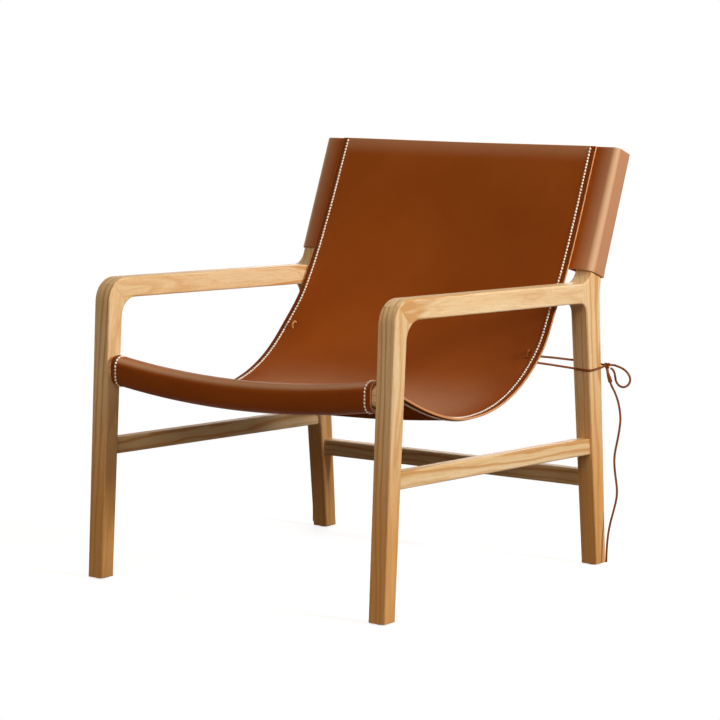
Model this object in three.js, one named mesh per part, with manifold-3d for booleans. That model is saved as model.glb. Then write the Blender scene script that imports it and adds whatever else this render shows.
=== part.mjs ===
// Leather sling lounge chair: two wooden side frames, a dished front rail, a rear stretcher,
// one hide panel hung on the back posts in sewn sleeves, rolled round the front rail and
// tied back to the rear legs with a lace each side.
// Millimetres, Z up, front of the chair towards minus Y, floor at Z zero.
import * as THREE from 'three';
import { mergeVertices } from 'three/addons/utils/BufferGeometryUtils.js';
import Module from 'manifold-3d';

const wasm = await Module();
wasm.setup();
const { Manifold, Mesh } = wasm;

// Overall sizes
const FRAME_WIDTH = 650;
const FRAME_THICK = 35;
const EDGE_R = 3.5;
const FIT = 0.3;

// Side frame outline
const GLIDE_STAND = 2;
const FRONT_FOOT_Y = -335.2;
const FRONT_FOOT_DEPTH = 29;
const FRONT_LEAN = 0.0481;
const FRONT_TAPER = 0.0125;
const REAR_FOOT_Y = 336.3;
const REAR_FOOT_DEPTH = 29;
const REAR_LEAN = 0.0668;
const REAR_TAPER = 0.0324;
const ARM_FRONT_TOP = 527.7;
const ARM_FALL = 0.0235;
const ARM_HEIGHT = 35.4;
const KNEE_Z = 509;
const POST_LEAN = THREE.MathUtils.degToRad(21.1);
const POST_DEPTH = 35;
const POST_LENGTH = 240;
const CORNER_OUTER_R = 42;
const CORNER_INNER_R = 34;
const POST_UPPER_R = 30;
const POST_LOWER_R = 22;
const KNEE_R = 150;
const ARM_SEAM_BACK = 20;

// Stretchers and rail
const SIDE_STRETCHER_Z = 231.5;
const SIDE_STRETCHER_FALL = 0.0215;
const SIDE_STRETCHER_TALL = 29.5;
const SIDE_STRETCHER_WIDE = 23;
const REAR_STRETCHER_Z = 159;
const REAR_STRETCHER_TALL = 30.5;
const REAR_STRETCHER_DEEP = 24;
const TENON_D = 13;
const TENON_LONG = 17;
const TENON_ROOT = 6;
const SOCKET_OPEN = 5;
const RAIL_Z = 368;
const RAIL_DISH = 22;
const RAIL_TALL = 42;
const RAIL_DEEP = 28;
const RAIL_NECK_TALL = 35;
const RAIL_NECK_IN = 6;
const RAIL_NECK_STEP = 2;
const RAIL_R = 12;
const RAIL_TENON_D = 18;

// Loose tenons and floor glides
const LOOSE_THICK = 10;
const LOOSE_WIDE = 17;
const LOOSE_LONG = 30;
const GLIDE_D = 20;
const GLIDE_SHANK_D = 6;
const GLIDE_SHANK_LONG = 14;

// Leather
const LEATHER = 4;
const PANEL_TOP_IN = 6;
const ARM_CLEAR = 3;
const SEAT_OVER = 4;
const SEAT_WIDEN = 80;
const ROLL_END_IN = 8;
const FRONT_NARROW = 0.8;
const PANEL_TOP_RISE = 4;
const BACK_SLOPE = 2.35;
const SEAT_LOW_Y = -52;
const SEAT_LOW_Z = 308;
const BACK_PULL = 250;
const SEAT_PULL = 236;
const FRONT_PULL = 80;
const RAIL_PULL = 100;
const RAIL_SLOPE = 0.505;
const SAG_BACK = 14;
const SAG_SEAT = 14;
const SAG_TOP = 2.5;
const SAG_GROW = 0.3;
const BACK_REACH = 0.91;
const ROLL_CLEAR = 0.9;
const FLAP_BEHIND = 36;
const FLAP_LONG = 24;
const SLEEVE_LONG_RIGHT = 231;
const SLEEVE_LONG_LEFT = 220;
const SLEEVE_TUCK = 22;
const SLEEVE_TURN = 3;
const SLEEVE_BACK_IN = 5;
const SLEEVE_BACK_DROP = 4;
const SLEEVE_EASE = 3.4;
const CAP_SINK = 0.2;
const TUCK_CLEAR = 0.7;

// Lace
const LACE_D = 4;
const LACE_HOLE_D = 5.8;
const LACE_HOLE_GAP = 12;
const LACE_HOLE_IN_RIGHT = 24;
const LACE_HOLE_IN_LEFT = 29;
const LACE_HOLE_Z_RIGHT = 394;
const LACE_HOLE_Z_LEFT = 408;
const LACE_OFF = 1.0;
const KNOT_Z = 363;
const KNOT_R = 6;
const KNOT_OUT = 6.8;
const KNOT_BACK = 7.3;
const END_THICK = 2;
const END_FORE = 4;
const TAIL_CLEAR = 6;

// Steps of the curved faces
const OUTLINE_STEPS = 8;
const BEVEL_STEPS = 4;
const RAIL_STEPS = 20;
const BACK_STEPS = 16;
const FRONT_STEPS = 8;
const SLEEVE_STEPS = 8;

const outerX = FRAME_WIDTH / 2;
const innerX = outerX - FRAME_THICK;
// Half widths of the panel: at its top edge, between the arms, on the seat and on the front roll
const halfTop = innerX - PANEL_TOP_IN;
const halfArm = innerX - ARM_CLEAR;
const halfSeat = innerX + SEAT_OVER;
const halfFront = innerX - ROLL_END_IN;
const v2 = (y, z) => new THREE.Vector2(y, z);
const v3 = (x, y, z) => new THREE.Vector3(x, y, z);

const wood = () => new THREE.MeshStandardMaterial({ color: 0xc98f55, roughness: 0.55, metalness: 0 });
const hide = () => new THREE.MeshStandardMaterial({ color: 0xa4602f, roughness: 0.5, metalness: 0 });
const thong = () => new THREE.MeshStandardMaterial({ color: 0x8a4a24, roughness: 0.55, metalness: 0 });
const plastic = () => new THREE.MeshStandardMaterial({ color: 0x3a3a3a, roughness: 0.6, metalness: 0 });

// Faces of the legs and arm as straight lines in the YZ plane
const frontLegFront = (z) => FRONT_FOOT_Y + FRONT_LEAN * z;
const frontLegBack = (z) => FRONT_FOOT_Y + FRONT_FOOT_DEPTH + (FRONT_LEAN + FRONT_TAPER) * z;
const rearLegBack = (z) => REAR_FOOT_Y - REAR_LEAN * z;
const rearLegFront = (z) => REAR_FOOT_Y - REAR_FOOT_DEPTH - (REAR_LEAN + REAR_TAPER) * z;
const frontTopY = frontLegFront(ARM_FRONT_TOP);
const armTop = (y) => ARM_FRONT_TOP - ARM_FALL * (y - frontTopY);
const armBottom = (y) => armTop(y) - ARM_HEIGHT;

// Post axis in the YZ plane: up along the post, and forwards square to it
const postUp = v2(Math.sin(POST_LEAN), Math.cos(POST_LEAN));
const postFore = v2(-Math.cos(POST_LEAN), Math.sin(POST_LEAN));
const knee = v2(rearLegBack(KNEE_Z), KNEE_Z);
const postAt = (along, fore) => knee.clone().addScaledVector(postUp, along).addScaledVector(postFore, fore);

// Where two lines, each given by two points, cross
function cross2(a, b, c, d) {
  const r = b.clone().sub(a);
  const s = d.clone().sub(c);
  const k = c.clone().sub(a).cross(s) / r.cross(s);
  return a.clone().addScaledVector(r, k);
}

const uprightLine = (y) => [v2(y(0), 0), v2(y(KNEE_Z), KNEE_Z)];
const levelLine = (z) => [v2(FRONT_FOOT_Y, z(FRONT_FOOT_Y)), v2(REAR_FOOT_Y, z(REAR_FOOT_Y))];
const lineFrontFront = uprightLine(frontLegFront);
const lineFrontBack = uprightLine(frontLegBack);
const lineRearFront = uprightLine(rearLegFront);
const lineArmTop = levelLine(armTop);
const lineArmBottom = levelLine(armBottom);
const linePostFront = [postAt(0, POST_DEPTH), postAt(POST_LENGTH, POST_DEPTH)];

const cornerOuter = cross2(...lineFrontFront, ...lineArmTop);
const cornerInner = cross2(...lineFrontBack, ...lineArmBottom);
const cornerUpper = cross2(...lineArmTop, ...linePostFront);
const cornerLower = cross2(...lineArmBottom, ...lineRearFront);

// Closed outline with chosen corners rounded
function roundedOutline(corners, segments) {
  const out = [];
  corners.forEach(([p, r], i) => {
    if (!r) {
      out.push(p.clone());
      return;
    }
    const before = corners[(i + corners.length - 1) % corners.length][0];
    const after = corners[(i + 1) % corners.length][0];
    const a = before.clone().sub(p).normalize();
    const b = after.clone().sub(p).normalize();
    const half = Math.acos(THREE.MathUtils.clamp(a.dot(b), -1, 1)) / 2;
    const centre = p.clone().addScaledVector(a.clone().add(b).normalize(), r / Math.sin(half));
    const from = p.clone().addScaledVector(a, r / Math.tan(half)).sub(centre);
    const to = p.clone().addScaledVector(b, r / Math.tan(half)).sub(centre);
    const turn = Math.atan2(from.cross(to), from.dot(to));
    for (let k = 0; k <= segments; k++) {
      out.push(from.clone().rotateAround(v2(0, 0), (turn * k) / segments).add(centre));
    }
  });
  return out;
}

// Solids in and out of the boolean kernel
function toManifold(geometry) {
  let g = geometry.clone();
  g.deleteAttribute('normal');
  if (g.attributes.uv) g.deleteAttribute('uv');
  g = mergeVertices(g, 1e-4);
  return new Manifold(new Mesh({
    numProp: 3,
    vertProperties: new Float32Array(g.attributes.position.array),
    triVerts: new Uint32Array(g.index.array),
  }));
}
function fromManifold(m) {
  const mesh = m.getMesh();
  const g = new THREE.BufferGeometry();
  g.setAttribute('position', new THREE.BufferAttribute(new Float32Array(mesh.vertProperties), 3));
  g.setIndex(new THREE.BufferAttribute(new Uint32Array(mesh.triVerts), 1));
  g.computeVertexNormals();
  return g;
}

// Closed solid through a row of rings with the same number of points
function loft(rings) {
  const n = rings[0].length;
  const pos = [];
  const idx = [];
  rings.forEach((ring) => ring.forEach((p) => pos.push(p.x, p.y, p.z)));
  for (let i = 0; i + 1 < rings.length; i++) {
    for (let j = 0; j < n; j++) {
      const a = i * n + j;
      const b = i * n + ((j + 1) % n);
      idx.push(a, b, a + n, b, b + n, a + n);
    }
  }
  const flat = (ring) => {
    const c = ring.reduce((s, p) => s.add(p), v3(0, 0, 0)).divideScalar(n);
    const normal = v3(0, 0, 0);
    ring.forEach((p, j) => normal.add(p.clone().sub(c).cross(ring[(j + 1) % n].clone().sub(c))));
    normal.normalize();
    const ux = ring[0].clone().sub(c).normalize();
    const uy = normal.clone().cross(ux);
    return ring.map((p) => v2(p.clone().sub(c).dot(ux), p.clone().sub(c).dot(uy)));
  };
  const last = (rings.length - 1) * n;
  THREE.ShapeUtils.triangulateShape(flat(rings[0]), []).forEach(([a, b, c]) => idx.push(a, c, b));
  THREE.ShapeUtils.triangulateShape(flat(rings[rings.length - 1]), [])
    .forEach(([a, b, c]) => idx.push(last + a, last + b, last + c));
  const g = new THREE.BufferGeometry();
  g.setAttribute('position', new THREE.Float32BufferAttribute(pos, 3));
  g.setIndex(idx);
  g.computeVertexNormals();
  return g;
}

// Round bar between two points
function rod(from, to, diameter, sides = 24) {
  const g = new THREE.CylinderGeometry(diameter / 2, diameter / 2, from.distanceTo(to), sides);
  const along = to.clone().sub(from).normalize();
  g.applyQuaternion(new THREE.Quaternion().setFromUnitVectors(v3(0, 1, 0), along));
  g.translate(...from.clone().add(to).multiplyScalar(0.5).toArray());
  return toManifold(g);
}
function roundedRect(w, h, r, segments = 4) {
  const c = [v2(-w / 2, -h / 2), v2(w / 2, -h / 2), v2(w / 2, h / 2), v2(-w / 2, h / 2)];
  return roundedOutline(c.map((p) => [p, r]), segments);
}
// Slab with rounded ends, long along its own Z, then placed by a matrix
function looseTenon(thick, wide, long, matrix) {
  const g = new THREE.ExtrudeGeometry(new THREE.Shape(roundedRect(thick, wide, thick / 2 - 0.01, 5)), {
    depth: long, steps: 1, bevelEnabled: false,
  });
  g.translate(0, 0, -long / 2);
  g.applyMatrix4(matrix);
  return toManifold(g);
}

const chair = new THREE.Group();
chair.name = 'sling_lounge_chair';
function add(name, geometry, material) {
  const mesh = new THREE.Mesh(geometry, material);
  mesh.name = name;
  chair.add(mesh);
}
const SIDES = [['left', -1], ['right', 1]];

// Whole side frame in the row's frame, for the side with sign s
const outline = roundedOutline([
  [v2(frontLegFront(GLIDE_STAND), GLIDE_STAND), 0],
  [cornerOuter, CORNER_OUTER_R],
  [cornerUpper, POST_UPPER_R],
  [postAt(POST_LENGTH, POST_DEPTH), 0],
  [postAt(POST_LENGTH, 0), 0],
  [knee, KNEE_R],
  [v2(rearLegBack(GLIDE_STAND), GLIDE_STAND), 0],
  [v2(rearLegFront(GLIDE_STAND), GLIDE_STAND), 0],
  [cornerLower, POST_LOWER_R],
  [cornerInner, CORNER_INNER_R],
  [v2(frontLegBack(GLIDE_STAND), GLIDE_STAND), 0],
], OUTLINE_STEPS);
function sideFrame(s) {
  const g = new THREE.ExtrudeGeometry(new THREE.Shape(outline), {
    depth: FRAME_THICK - 2 * EDGE_R,
    steps: 1,
    bevelEnabled: true,
    bevelThickness: EDGE_R,
    bevelSize: EDGE_R,
    bevelOffset: -EDGE_R,
    bevelSegments: BEVEL_STEPS,
  });
  g.translate(0, 0, EDGE_R);
  // Outline axes (y, z, depth) become (x, y, z) of the row: a plain cyclic turn, no mirror
  g.applyMatrix4(new THREE.Matrix4().makeBasis(v3(0, 1, 0), v3(0, 0, 1), v3(1, 0, 0)));
  g.translate(s > 0 ? innerX : -outerX, 0, 0);
  return toManifold(g);
}

// Joint places
const seamY = cornerUpper.x - ARM_SEAM_BACK;
const mitreDir = cornerOuter.clone().sub(cornerInner).normalize();
const mitreNormal = v2(-mitreDir.y, mitreDir.x).multiplyScalar(-1);
const mitreMid = cornerOuter.clone().add(cornerInner).multiplyScalar(0.5)
  .addScaledVector(mitreDir, (CORNER_INNER_R - CORNER_OUTER_R) * (Math.SQRT2 - 1) / 2
    - (CORNER_INNER_R * (Math.SQRT2 - 1)) / 2);
const midX = (s) => s * (outerX - FRAME_THICK / 2);
const mitreMatrix = (s) => new THREE.Matrix4().makeBasis(
  v3(1, 0, 0), v3(0, mitreDir.x, mitreDir.y), v3(0, -mitreDir.y, mitreDir.x),
).setPosition(midX(s), mitreMid.x, mitreMid.y);
const seamMid = v2(seamY, (armTop(seamY) + armBottom(seamY)) / 2);
const seamMatrix = (s) => new THREE.Matrix4().makeBasis(
  v3(1, 0, 0), v3(0, 0, 1), v3(0, -1, 0),
).setPosition(midX(s), seamMid.x, seamMid.y);

// Side stretcher axis ends on the leg faces
const stretcherZ = (y) => SIDE_STRETCHER_Z - SIDE_STRETCHER_FALL * (y - frontLegBack(SIDE_STRETCHER_Z));
const stretcherRun = levelLine(stretcherZ);
const stretcherFront = cross2(...lineFrontBack, ...stretcherRun);
const stretcherBack = cross2(...lineRearFront, ...stretcherRun);
const stretcherDir = stretcherBack.clone().sub(stretcherFront).normalize();
const rearStretcherY = (rearLegFront(REAR_STRETCHER_Z) + rearLegBack(REAR_STRETCHER_Z)) / 2;
const railY = (frontLegFront(RAIL_Z) + frontLegBack(RAIL_Z)) / 2;

const onSide = (s, p) => v3(midX(s), p.x, p.y);
const plane2 = (line, sign) => {
  const d = line[1].clone().sub(line[0]).normalize();
  const n = v2(d.y, -d.x).multiplyScalar(sign);
  return { n: [0, n.x, n.y], d: n.dot(line[0]) };
};

for (const [side, s] of SIDES) {
  const whole = sideFrame(s);
  const socket = (a, b, d) => rod(a, b, d + 2 * FIT);
  const footFront = v3(midX(s), (frontLegFront(0) + frontLegBack(0)) / 2, 0);
  const footRear = v3(midX(s), (rearLegFront(0) + rearLegBack(0)) / 2, 0);
  const shankHole = (f) => socket(
    v3(f.x, f.y, -1), v3(f.x, f.y, GLIDE_STAND + GLIDE_SHANK_LONG + FIT), GLIDE_SHANK_D,
  );
  const mitreSlot = looseTenon(
    LOOSE_THICK + 2 * FIT, LOOSE_WIDE + 2 * FIT, LOOSE_LONG + 2 * FIT, mitreMatrix(s),
  );
  const seamSlot = looseTenon(
    LOOSE_THICK + 2 * FIT, LOOSE_WIDE + 2 * FIT, LOOSE_LONG + 2 * FIT, seamMatrix(s),
  );
  const along = (p, k) => onSide(s, p.clone().addScaledVector(stretcherDir, k));
  const reach = TENON_LONG + FIT;
  const crossSocket = (y, z, d) => socket(
    v3(s * (innerX - SOCKET_OPEN), y, z), v3(s * (innerX + TENON_LONG + 2 * FIT), y, z), d,
  );
  const railSocket = crossSocket(railY, RAIL_Z, RAIL_TENON_D);
  const rearSocket = crossSocket(rearStretcherY, REAR_STRETCHER_Z, TENON_D);
  const mitreAt = mitreNormal.dot(mitreMid);
  const mitre3 = [0, mitreNormal.x, mitreNormal.y];
  const flip = (n) => n.map((c) => -c);

  const frontLeg = whole
    .trimByPlane([0, -1, 0], -seamY)
    .trimByPlane(flip(mitre3), -mitreAt + FIT / 2)
    .subtract(mitreSlot)
    .subtract(shankHole(footFront))
    .subtract(railSocket)
    .subtract(socket(along(stretcherFront, SOCKET_OPEN), along(stretcherFront, -reach), TENON_D));
  const arm = whole
    .trimByPlane([0, -1, 0], -seamY + FIT / 2)
    .trimByPlane(mitre3, mitreAt + FIT / 2)
    .subtract(mitreSlot)
    .subtract(seamSlot);
  const rearPost = whole
    .trimByPlane([0, 1, 0], seamY + FIT / 2)
    .subtract(seamSlot)
    .subtract(shankHole(footRear))
    .subtract(rearSocket)
    .subtract(socket(along(stretcherBack, -SOCKET_OPEN), along(stretcherBack, reach), TENON_D));
  add(`front_leg_${side}`, fromManifold(frontLeg), wood());
  add(`arm_${side}`, fromManifold(arm), wood());
  add(`rear_post_${side}`, fromManifold(rearPost), wood());
  add(`corner_tenon_${side}`, fromManifold(
    looseTenon(LOOSE_THICK, LOOSE_WIDE, LOOSE_LONG, mitreMatrix(s)),
  ), wood());
  add(`arm_tenon_${side}`, fromManifold(
    looseTenon(LOOSE_THICK, LOOSE_WIDE, LOOSE_LONG, seamMatrix(s)),
  ), wood());

  // Side stretcher: a rounded bar cut to the leg faces, with a round tenon each end
  const section = new THREE.Shape(roundedRect(SIDE_STRETCHER_WIDE, SIDE_STRETCHER_TALL, EDGE_R));
  const barLong = stretcherFront.distanceTo(stretcherBack) + 2 * FRAME_THICK;
  const barGeometry = new THREE.ExtrudeGeometry(section, { depth: barLong, steps: 1, bevelEnabled: false });
  barGeometry.translate(0, 0, -barLong / 2);
  barGeometry.applyMatrix4(new THREE.Matrix4().makeBasis(
    v3(1, 0, 0), v3(0, -stretcherDir.y, stretcherDir.x), v3(0, -stretcherDir.x, -stretcherDir.y),
  ).setPosition(onSide(s, stretcherFront.clone().add(stretcherBack).multiplyScalar(0.5))));
  const cutFront = plane2(lineFrontBack, 1);
  const cutBack = plane2(lineRearFront, -1);
  const stretcher = toManifold(barGeometry)
    .trimByPlane(cutFront.n, cutFront.d + FIT)
    .trimByPlane(cutBack.n, cutBack.d + FIT)
    .add(rod(along(stretcherFront, TENON_ROOT), along(stretcherFront, -TENON_LONG), TENON_D))
    .add(rod(along(stretcherBack, -TENON_ROOT), along(stretcherBack, TENON_LONG), TENON_D));
  add(`side_stretcher_${side}`, fromManifold(stretcher), wood());

  // Floor glides: a low button with a shank pushed up into the foot
  for (const [end, f] of [['front', footFront], ['rear', footRear]]) {
    const glide = new THREE.LatheGeometry([
      v2(0, 0), v2(GLIDE_D / 2 - 1, 0), v2(GLIDE_D / 2, 1), v2(GLIDE_D / 2, GLIDE_STAND - FIT),
      v2(GLIDE_SHANK_D / 2, GLIDE_STAND - FIT), v2(GLIDE_SHANK_D / 2, GLIDE_STAND + GLIDE_SHANK_LONG),
      v2(0, GLIDE_STAND + GLIDE_SHANK_LONG),
    ], 24);
    glide.rotateX(Math.PI / 2);
    glide.translate(f.x, f.y, 0);
    add(`glide_${end}_${side}`, fromManifold(toManifold(glide)), plastic());
  }
}

// Rear stretcher between the rear legs
{
  const half = innerX - FIT;
  const g = new THREE.ExtrudeGeometry(
    new THREE.Shape(roundedRect(REAR_STRETCHER_DEEP, REAR_STRETCHER_TALL, EDGE_R)),
    { depth: 2 * half, steps: 1, bevelEnabled: false },
  );
  g.translate(0, 0, -half);
  g.applyMatrix4(new THREE.Matrix4().makeBasis(v3(0, 1, 0), v3(0, 0, 1), v3(1, 0, 0)));
  g.translate(0, rearStretcherY, REAR_STRETCHER_Z);
  const tenon = (s) => rod(
    v3(s * (half - TENON_ROOT), rearStretcherY, REAR_STRETCHER_Z),
    v3(s * (innerX + TENON_LONG), rearStretcherY, REAR_STRETCHER_Z), TENON_D,
  );
  add('rear_stretcher', fromManifold(toManifold(g).add(tenon(1)).add(tenon(-1))), wood());
}

// Front rail: dished body, a lower neck each end and a round tenon into each leg
const railHalf = innerX - FIT;
const dish = (x) => -RAIL_DISH * Math.max(0, 1 - (x / halfFront) ** 2);
{
  const neckFrom = halfFront - RAIL_NECK_IN;
  const neckTo = neckFrom + RAIL_NECK_STEP;
  const along = [[-railHalf, RAIL_NECK_TALL], [-neckTo, RAIL_NECK_TALL]];
  for (let i = 0; i <= RAIL_STEPS; i++) {
    along.push([-neckFrom + (2 * neckFrom * i) / RAIL_STEPS, RAIL_TALL]);
  }
  along.push([neckTo, RAIL_NECK_TALL], [railHalf, RAIL_NECK_TALL]);
  const rings = along.map(([x, tall]) => roundedRect(RAIL_DEEP, tall, RAIL_R, 4)
    .map((p) => v3(x, railY + p.x, RAIL_Z + dish(x) + p.y)));
  const tenon = (s) => rod(
    v3(s * (railHalf - TENON_ROOT), railY, RAIL_Z),
    v3(s * (innerX + TENON_LONG), railY, RAIL_Z), RAIL_TENON_D,
  );
  const rail = toManifold(loft(rings)).add(tenon(1)).add(tenon(-1));
  add('front_rail', fromManifold(rail), wood());
}

// Sling panel: the outer face as a line in YZ at the side edges, from the top edge to the flap
const rollDeep = RAIL_DEEP + 2 * (LEATHER + ROLL_CLEAR);
const rollTall = RAIL_TALL + 2 * (LEATHER + ROLL_CLEAR);
const rollR = RAIL_R + LEATHER + ROLL_CLEAR;
const sleeveFace = POST_DEPTH + FIT + LEATHER;
const panelTop = postAt(POST_LENGTH + PANEL_TOP_RISE, sleeveFace + TUCK_CLEAR + LEATHER);
const seatLow = v2(SEAT_LOW_Y, SEAT_LOW_Z);
const backDir = v2(-1, -BACK_SLOPE).normalize();
const slopeDir = v2(1, -RAIL_SLOPE).normalize();
const rollArcBack = v2(railY + rollDeep / 2 - rollR, RAIL_Z + rollTall / 2 - rollR);
const rollTangent = rollArcBack.clone().add(v2(RAIL_SLOPE, 1).normalize().multiplyScalar(rollR));
const backCurve = new THREE.CubicBezierCurve(
  panelTop,
  panelTop.clone().addScaledVector(backDir, BACK_PULL),
  seatLow.clone().add(v2(SEAT_PULL, 0)),
  seatLow,
);
const frontCurve = new THREE.CubicBezierCurve(
  seatLow,
  seatLow.clone().sub(v2(FRONT_PULL, 0)),
  rollTangent.clone().addScaledVector(slopeDir, RAIL_PULL),
  rollTangent,
);
// Each station: place of the outer face, half width, sag size, power of the sag and its lie
const stations = [];
const smooth = (t) => t * t * (3 - 2 * t);
// Between the arms the panel keeps clear of them; below them it widens to the seat's width
const underArm = armBottom(seamY) - LEATHER;
for (let i = 0; i <= BACK_STEPS; i++) {
  const t = i / BACK_STEPS;
  const p = backCurve.getPointAt(t);
  const rise = Math.min(1, t / SAG_GROW);
  const past = THREE.MathUtils.clamp((underArm - p.y) / (panelTop.y - underArm), -1, 0) + 1;
  const below = THREE.MathUtils.clamp((underArm - p.y) / SEAT_WIDEN, 0, 1);
  stations.push({
    p,
    half: THREE.MathUtils.lerp(THREE.MathUtils.lerp(halfTop, halfArm, past), halfSeat, smooth(below)),
    sag: THREE.MathUtils.lerp(SAG_TOP, THREE.MathUtils.lerp(SAG_BACK, SAG_SEAT, t), smooth(rise)),
    power: THREE.MathUtils.lerp(2, 1, smooth(t)),
    reach: THREE.MathUtils.lerp(BACK_REACH, 1, smooth(t)),
  });
}
for (let i = 1; i <= FRONT_STEPS; i++) {
  const t = i / FRONT_STEPS;
  stations.push({
    p: frontCurve.getPointAt(t),
    half: THREE.MathUtils.lerp(halfSeat, halfFront, smooth(Math.min(1, t / FRONT_NARROW))),
    sag: THREE.MathUtils.lerp(SAG_SEAT, RAIL_DISH, t),
    power: 1,
    down: smooth(t),
  });
}
const rollStation = (p) => stations.push({ p, half: halfFront, sag: RAIL_DISH, power: 1, down: 1 });
const arcTo = (cy, cz, from, to, n) => {
  for (let k = 0; k <= n; k++) {
    const a = THREE.MathUtils.lerp(from, to, k / n);
    rollStation(v2(railY + cy + rollR * Math.cos(a), RAIL_Z + cz + rollR * Math.sin(a)));
  }
};
const cornerY = rollDeep / 2 - rollR;
const cornerZ = rollTall / 2 - rollR;
const tangentAngle = Math.atan2(1, RAIL_SLOPE);
arcTo(cornerY, cornerZ, tangentAngle + 0.2, Math.PI / 2, 1);
arcTo(-cornerY, cornerZ, Math.PI / 2, Math.PI, 3);
arcTo(-cornerY, -cornerZ, Math.PI, 1.5 * Math.PI, 3);
// The flap leaves the underside of the roll and closes up under the panel behind the rail
const under = LEATHER + FIT;
const seamBack = rollTangent.clone().addScaledVector(slopeDir, FLAP_BEHIND);
const underside = v2(slopeDir.y, -slopeDir.x);
const flapStart = seamBack.clone().addScaledVector(underside, under + LEATHER);
const flapEnd = flapStart.clone().addScaledVector(slopeDir, FLAP_LONG);
const flapArc = v2(railY + cornerY, RAIL_Z - cornerZ);
const flapGap = flapStart.clone().sub(flapArc);
const leaveAngle = Math.atan2(flapGap.y, flapGap.x) - Math.acos(rollR / flapGap.length());
arcTo(cornerY, -cornerZ, 1.5 * Math.PI, 2 * Math.PI + leaveAngle, 2);
rollStation(flapStart.clone().addScaledVector(slopeDir, 2));
rollStation(flapEnd);

const stationTangent = (i) => {
  const a = stations[Math.max(0, i - 1)].p;
  const b = stations[Math.min(stations.length - 1, i + 1)].p;
  return b.clone().sub(a).normalize();
};
// Inward normal: from the seen face of the leather to its hidden face
const stationIn = (i) => {
  const t = stationTangent(i);
  return v2(-t.y, t.x);
};
// Depth of leather is kept on the bends by stretching the offset at each corner
const stationOffset = (i) => {
  const here = stations[i].p;
  const a = stations[Math.max(0, i - 1)].p;
  const b = stations[Math.min(stations.length - 1, i + 1)].p;
  if (i === 0 || i === stations.length - 1) return LEATHER;
  const u = here.clone().sub(a).normalize();
  const w = b.clone().sub(here).normalize();
  return LEATHER / Math.sqrt((1 + THREE.MathUtils.clamp(u.dot(w), -1, 1)) / 2);
};
const stationMitre = (i) => {
  const here = stations[i].p;
  if (i === 0 || i === stations.length - 1) return stationIn(i);
  const u = here.clone().sub(stations[i - 1].p).normalize();
  const w = stations[i + 1].p.clone().sub(here).normalize();
  const t = u.add(w).normalize();
  return v2(-t.y, t.x);
};
const sagAt = (i, x) => {
  const st = stations[i];
  const q = Math.min(1, Math.abs(x) / (st.half * (st.reach ?? 1)));
  const amount = st.sag * (1 - q * q) ** st.power;
  const dir = stationMitre(i).lerp(v2(0, -1), st.down ?? 0).normalize();
  return dir.multiplyScalar(amount);
};
// Columns across the panel, close together at the side edges where the sleeves lie under it
const PANEL_COLUMNS = [-1, -0.92, -0.76, -0.6, -0.4, -0.2, 0, 0.2, 0.4, 0.6, 0.76, 0.92, 1];
function panelPoint(i, x, deep) {
  const p = stations[i].p.clone()
    .addScaledVector(stationMitre(i), deep ? stationOffset(i) : 0)
    .add(sagAt(i, x));
  return v3(x, p.x, p.y);
}
function panelSolid() {
  const rows = stations.length;
  const cols = PANEL_COLUMNS.length;
  const pos = [];
  const idx = [];
  for (const deep of [0, 1]) {
    for (let i = 0; i < rows; i++) {
      for (let j = 0; j < cols; j++) {
        const x = stations[i].half * PANEL_COLUMNS[j];
        pos.push(...panelPoint(i, x, deep).toArray());
      }
    }
  }
  const at = (deep, i, j) => deep * rows * cols + i * cols + j;
  const quad = (a, b, c, d) => idx.push(a, b, c, a, c, d);
  for (let i = 0; i + 1 < rows; i++) {
    for (let j = 0; j + 1 < cols; j++) {
      quad(at(0, i, j), at(0, i + 1, j), at(0, i + 1, j + 1), at(0, i, j + 1));
      quad(at(1, i, j), at(1, i, j + 1), at(1, i + 1, j + 1), at(1, i + 1, j));
    }
    quad(at(0, i, 0), at(1, i, 0), at(1, i + 1, 0), at(0, i + 1, 0));
    quad(at(0, i, cols - 1), at(0, i + 1, cols - 1), at(1, i + 1, cols - 1), at(1, i, cols - 1));
  }
  for (let j = 0; j + 1 < cols; j++) {
    quad(at(0, 0, j), at(0, 0, j + 1), at(1, 0, j + 1), at(1, 0, j));
    quad(at(0, rows - 1, j), at(1, rows - 1, j), at(1, rows - 1, j + 1), at(0, rows - 1, j + 1));
  }
  const g = new THREE.BufferGeometry();
  g.setAttribute('position', new THREE.Float32BufferAttribute(pos, 3));
  g.setIndex(idx);
  return toManifold(g);
}

// Place on the back curve at a height, as distance along it, with the face's outward normal
function backAtHeight(z) {
  let lo = 0;
  let hi = 1;
  for (let k = 0; k < 40; k++) {
    const mid = (lo + hi) / 2;
    if (backCurve.getPointAt(mid).y > z) lo = mid;
    else hi = mid;
  }
  return lo;
}
function holeFrames(s) {
  const t0 = backAtHeight(s > 0 ? LACE_HOLE_Z_RIGHT : LACE_HOLE_Z_LEFT);
  const long = backCurve.getLength();
  return [-0.5, 0.5].map((k) => {
    const t = t0 + (k * LACE_HOLE_GAP) / long;
    const i = Math.round(t * BACK_STEPS);
    const x = s * (stations[i].half - (s > 0 ? LACE_HOLE_IN_RIGHT : LACE_HOLE_IN_LEFT));
    const p = backCurve.getPointAt(t).add(sagAt(i, x));
    const d = backCurve.getTangentAt(t);
    return { at: v3(x, p.x, p.y), out: v3(0, d.y, -d.x) };
  });
}
let panel = panelSolid();
const holes = {};
for (const [side, s] of SIDES) {
  holes[side] = holeFrames(s);
  for (const h of holes[side]) {
    const above = h.at.clone().addScaledVector(h.out, LEATHER);
    const below = h.at.clone().addScaledVector(h.out, -3 * LEATHER);
    panel = panel.subtract(rod(above, below, LACE_HOLE_D, 12));
  }
}
add('sling_panel', fromManifold(panel), hide());

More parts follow.
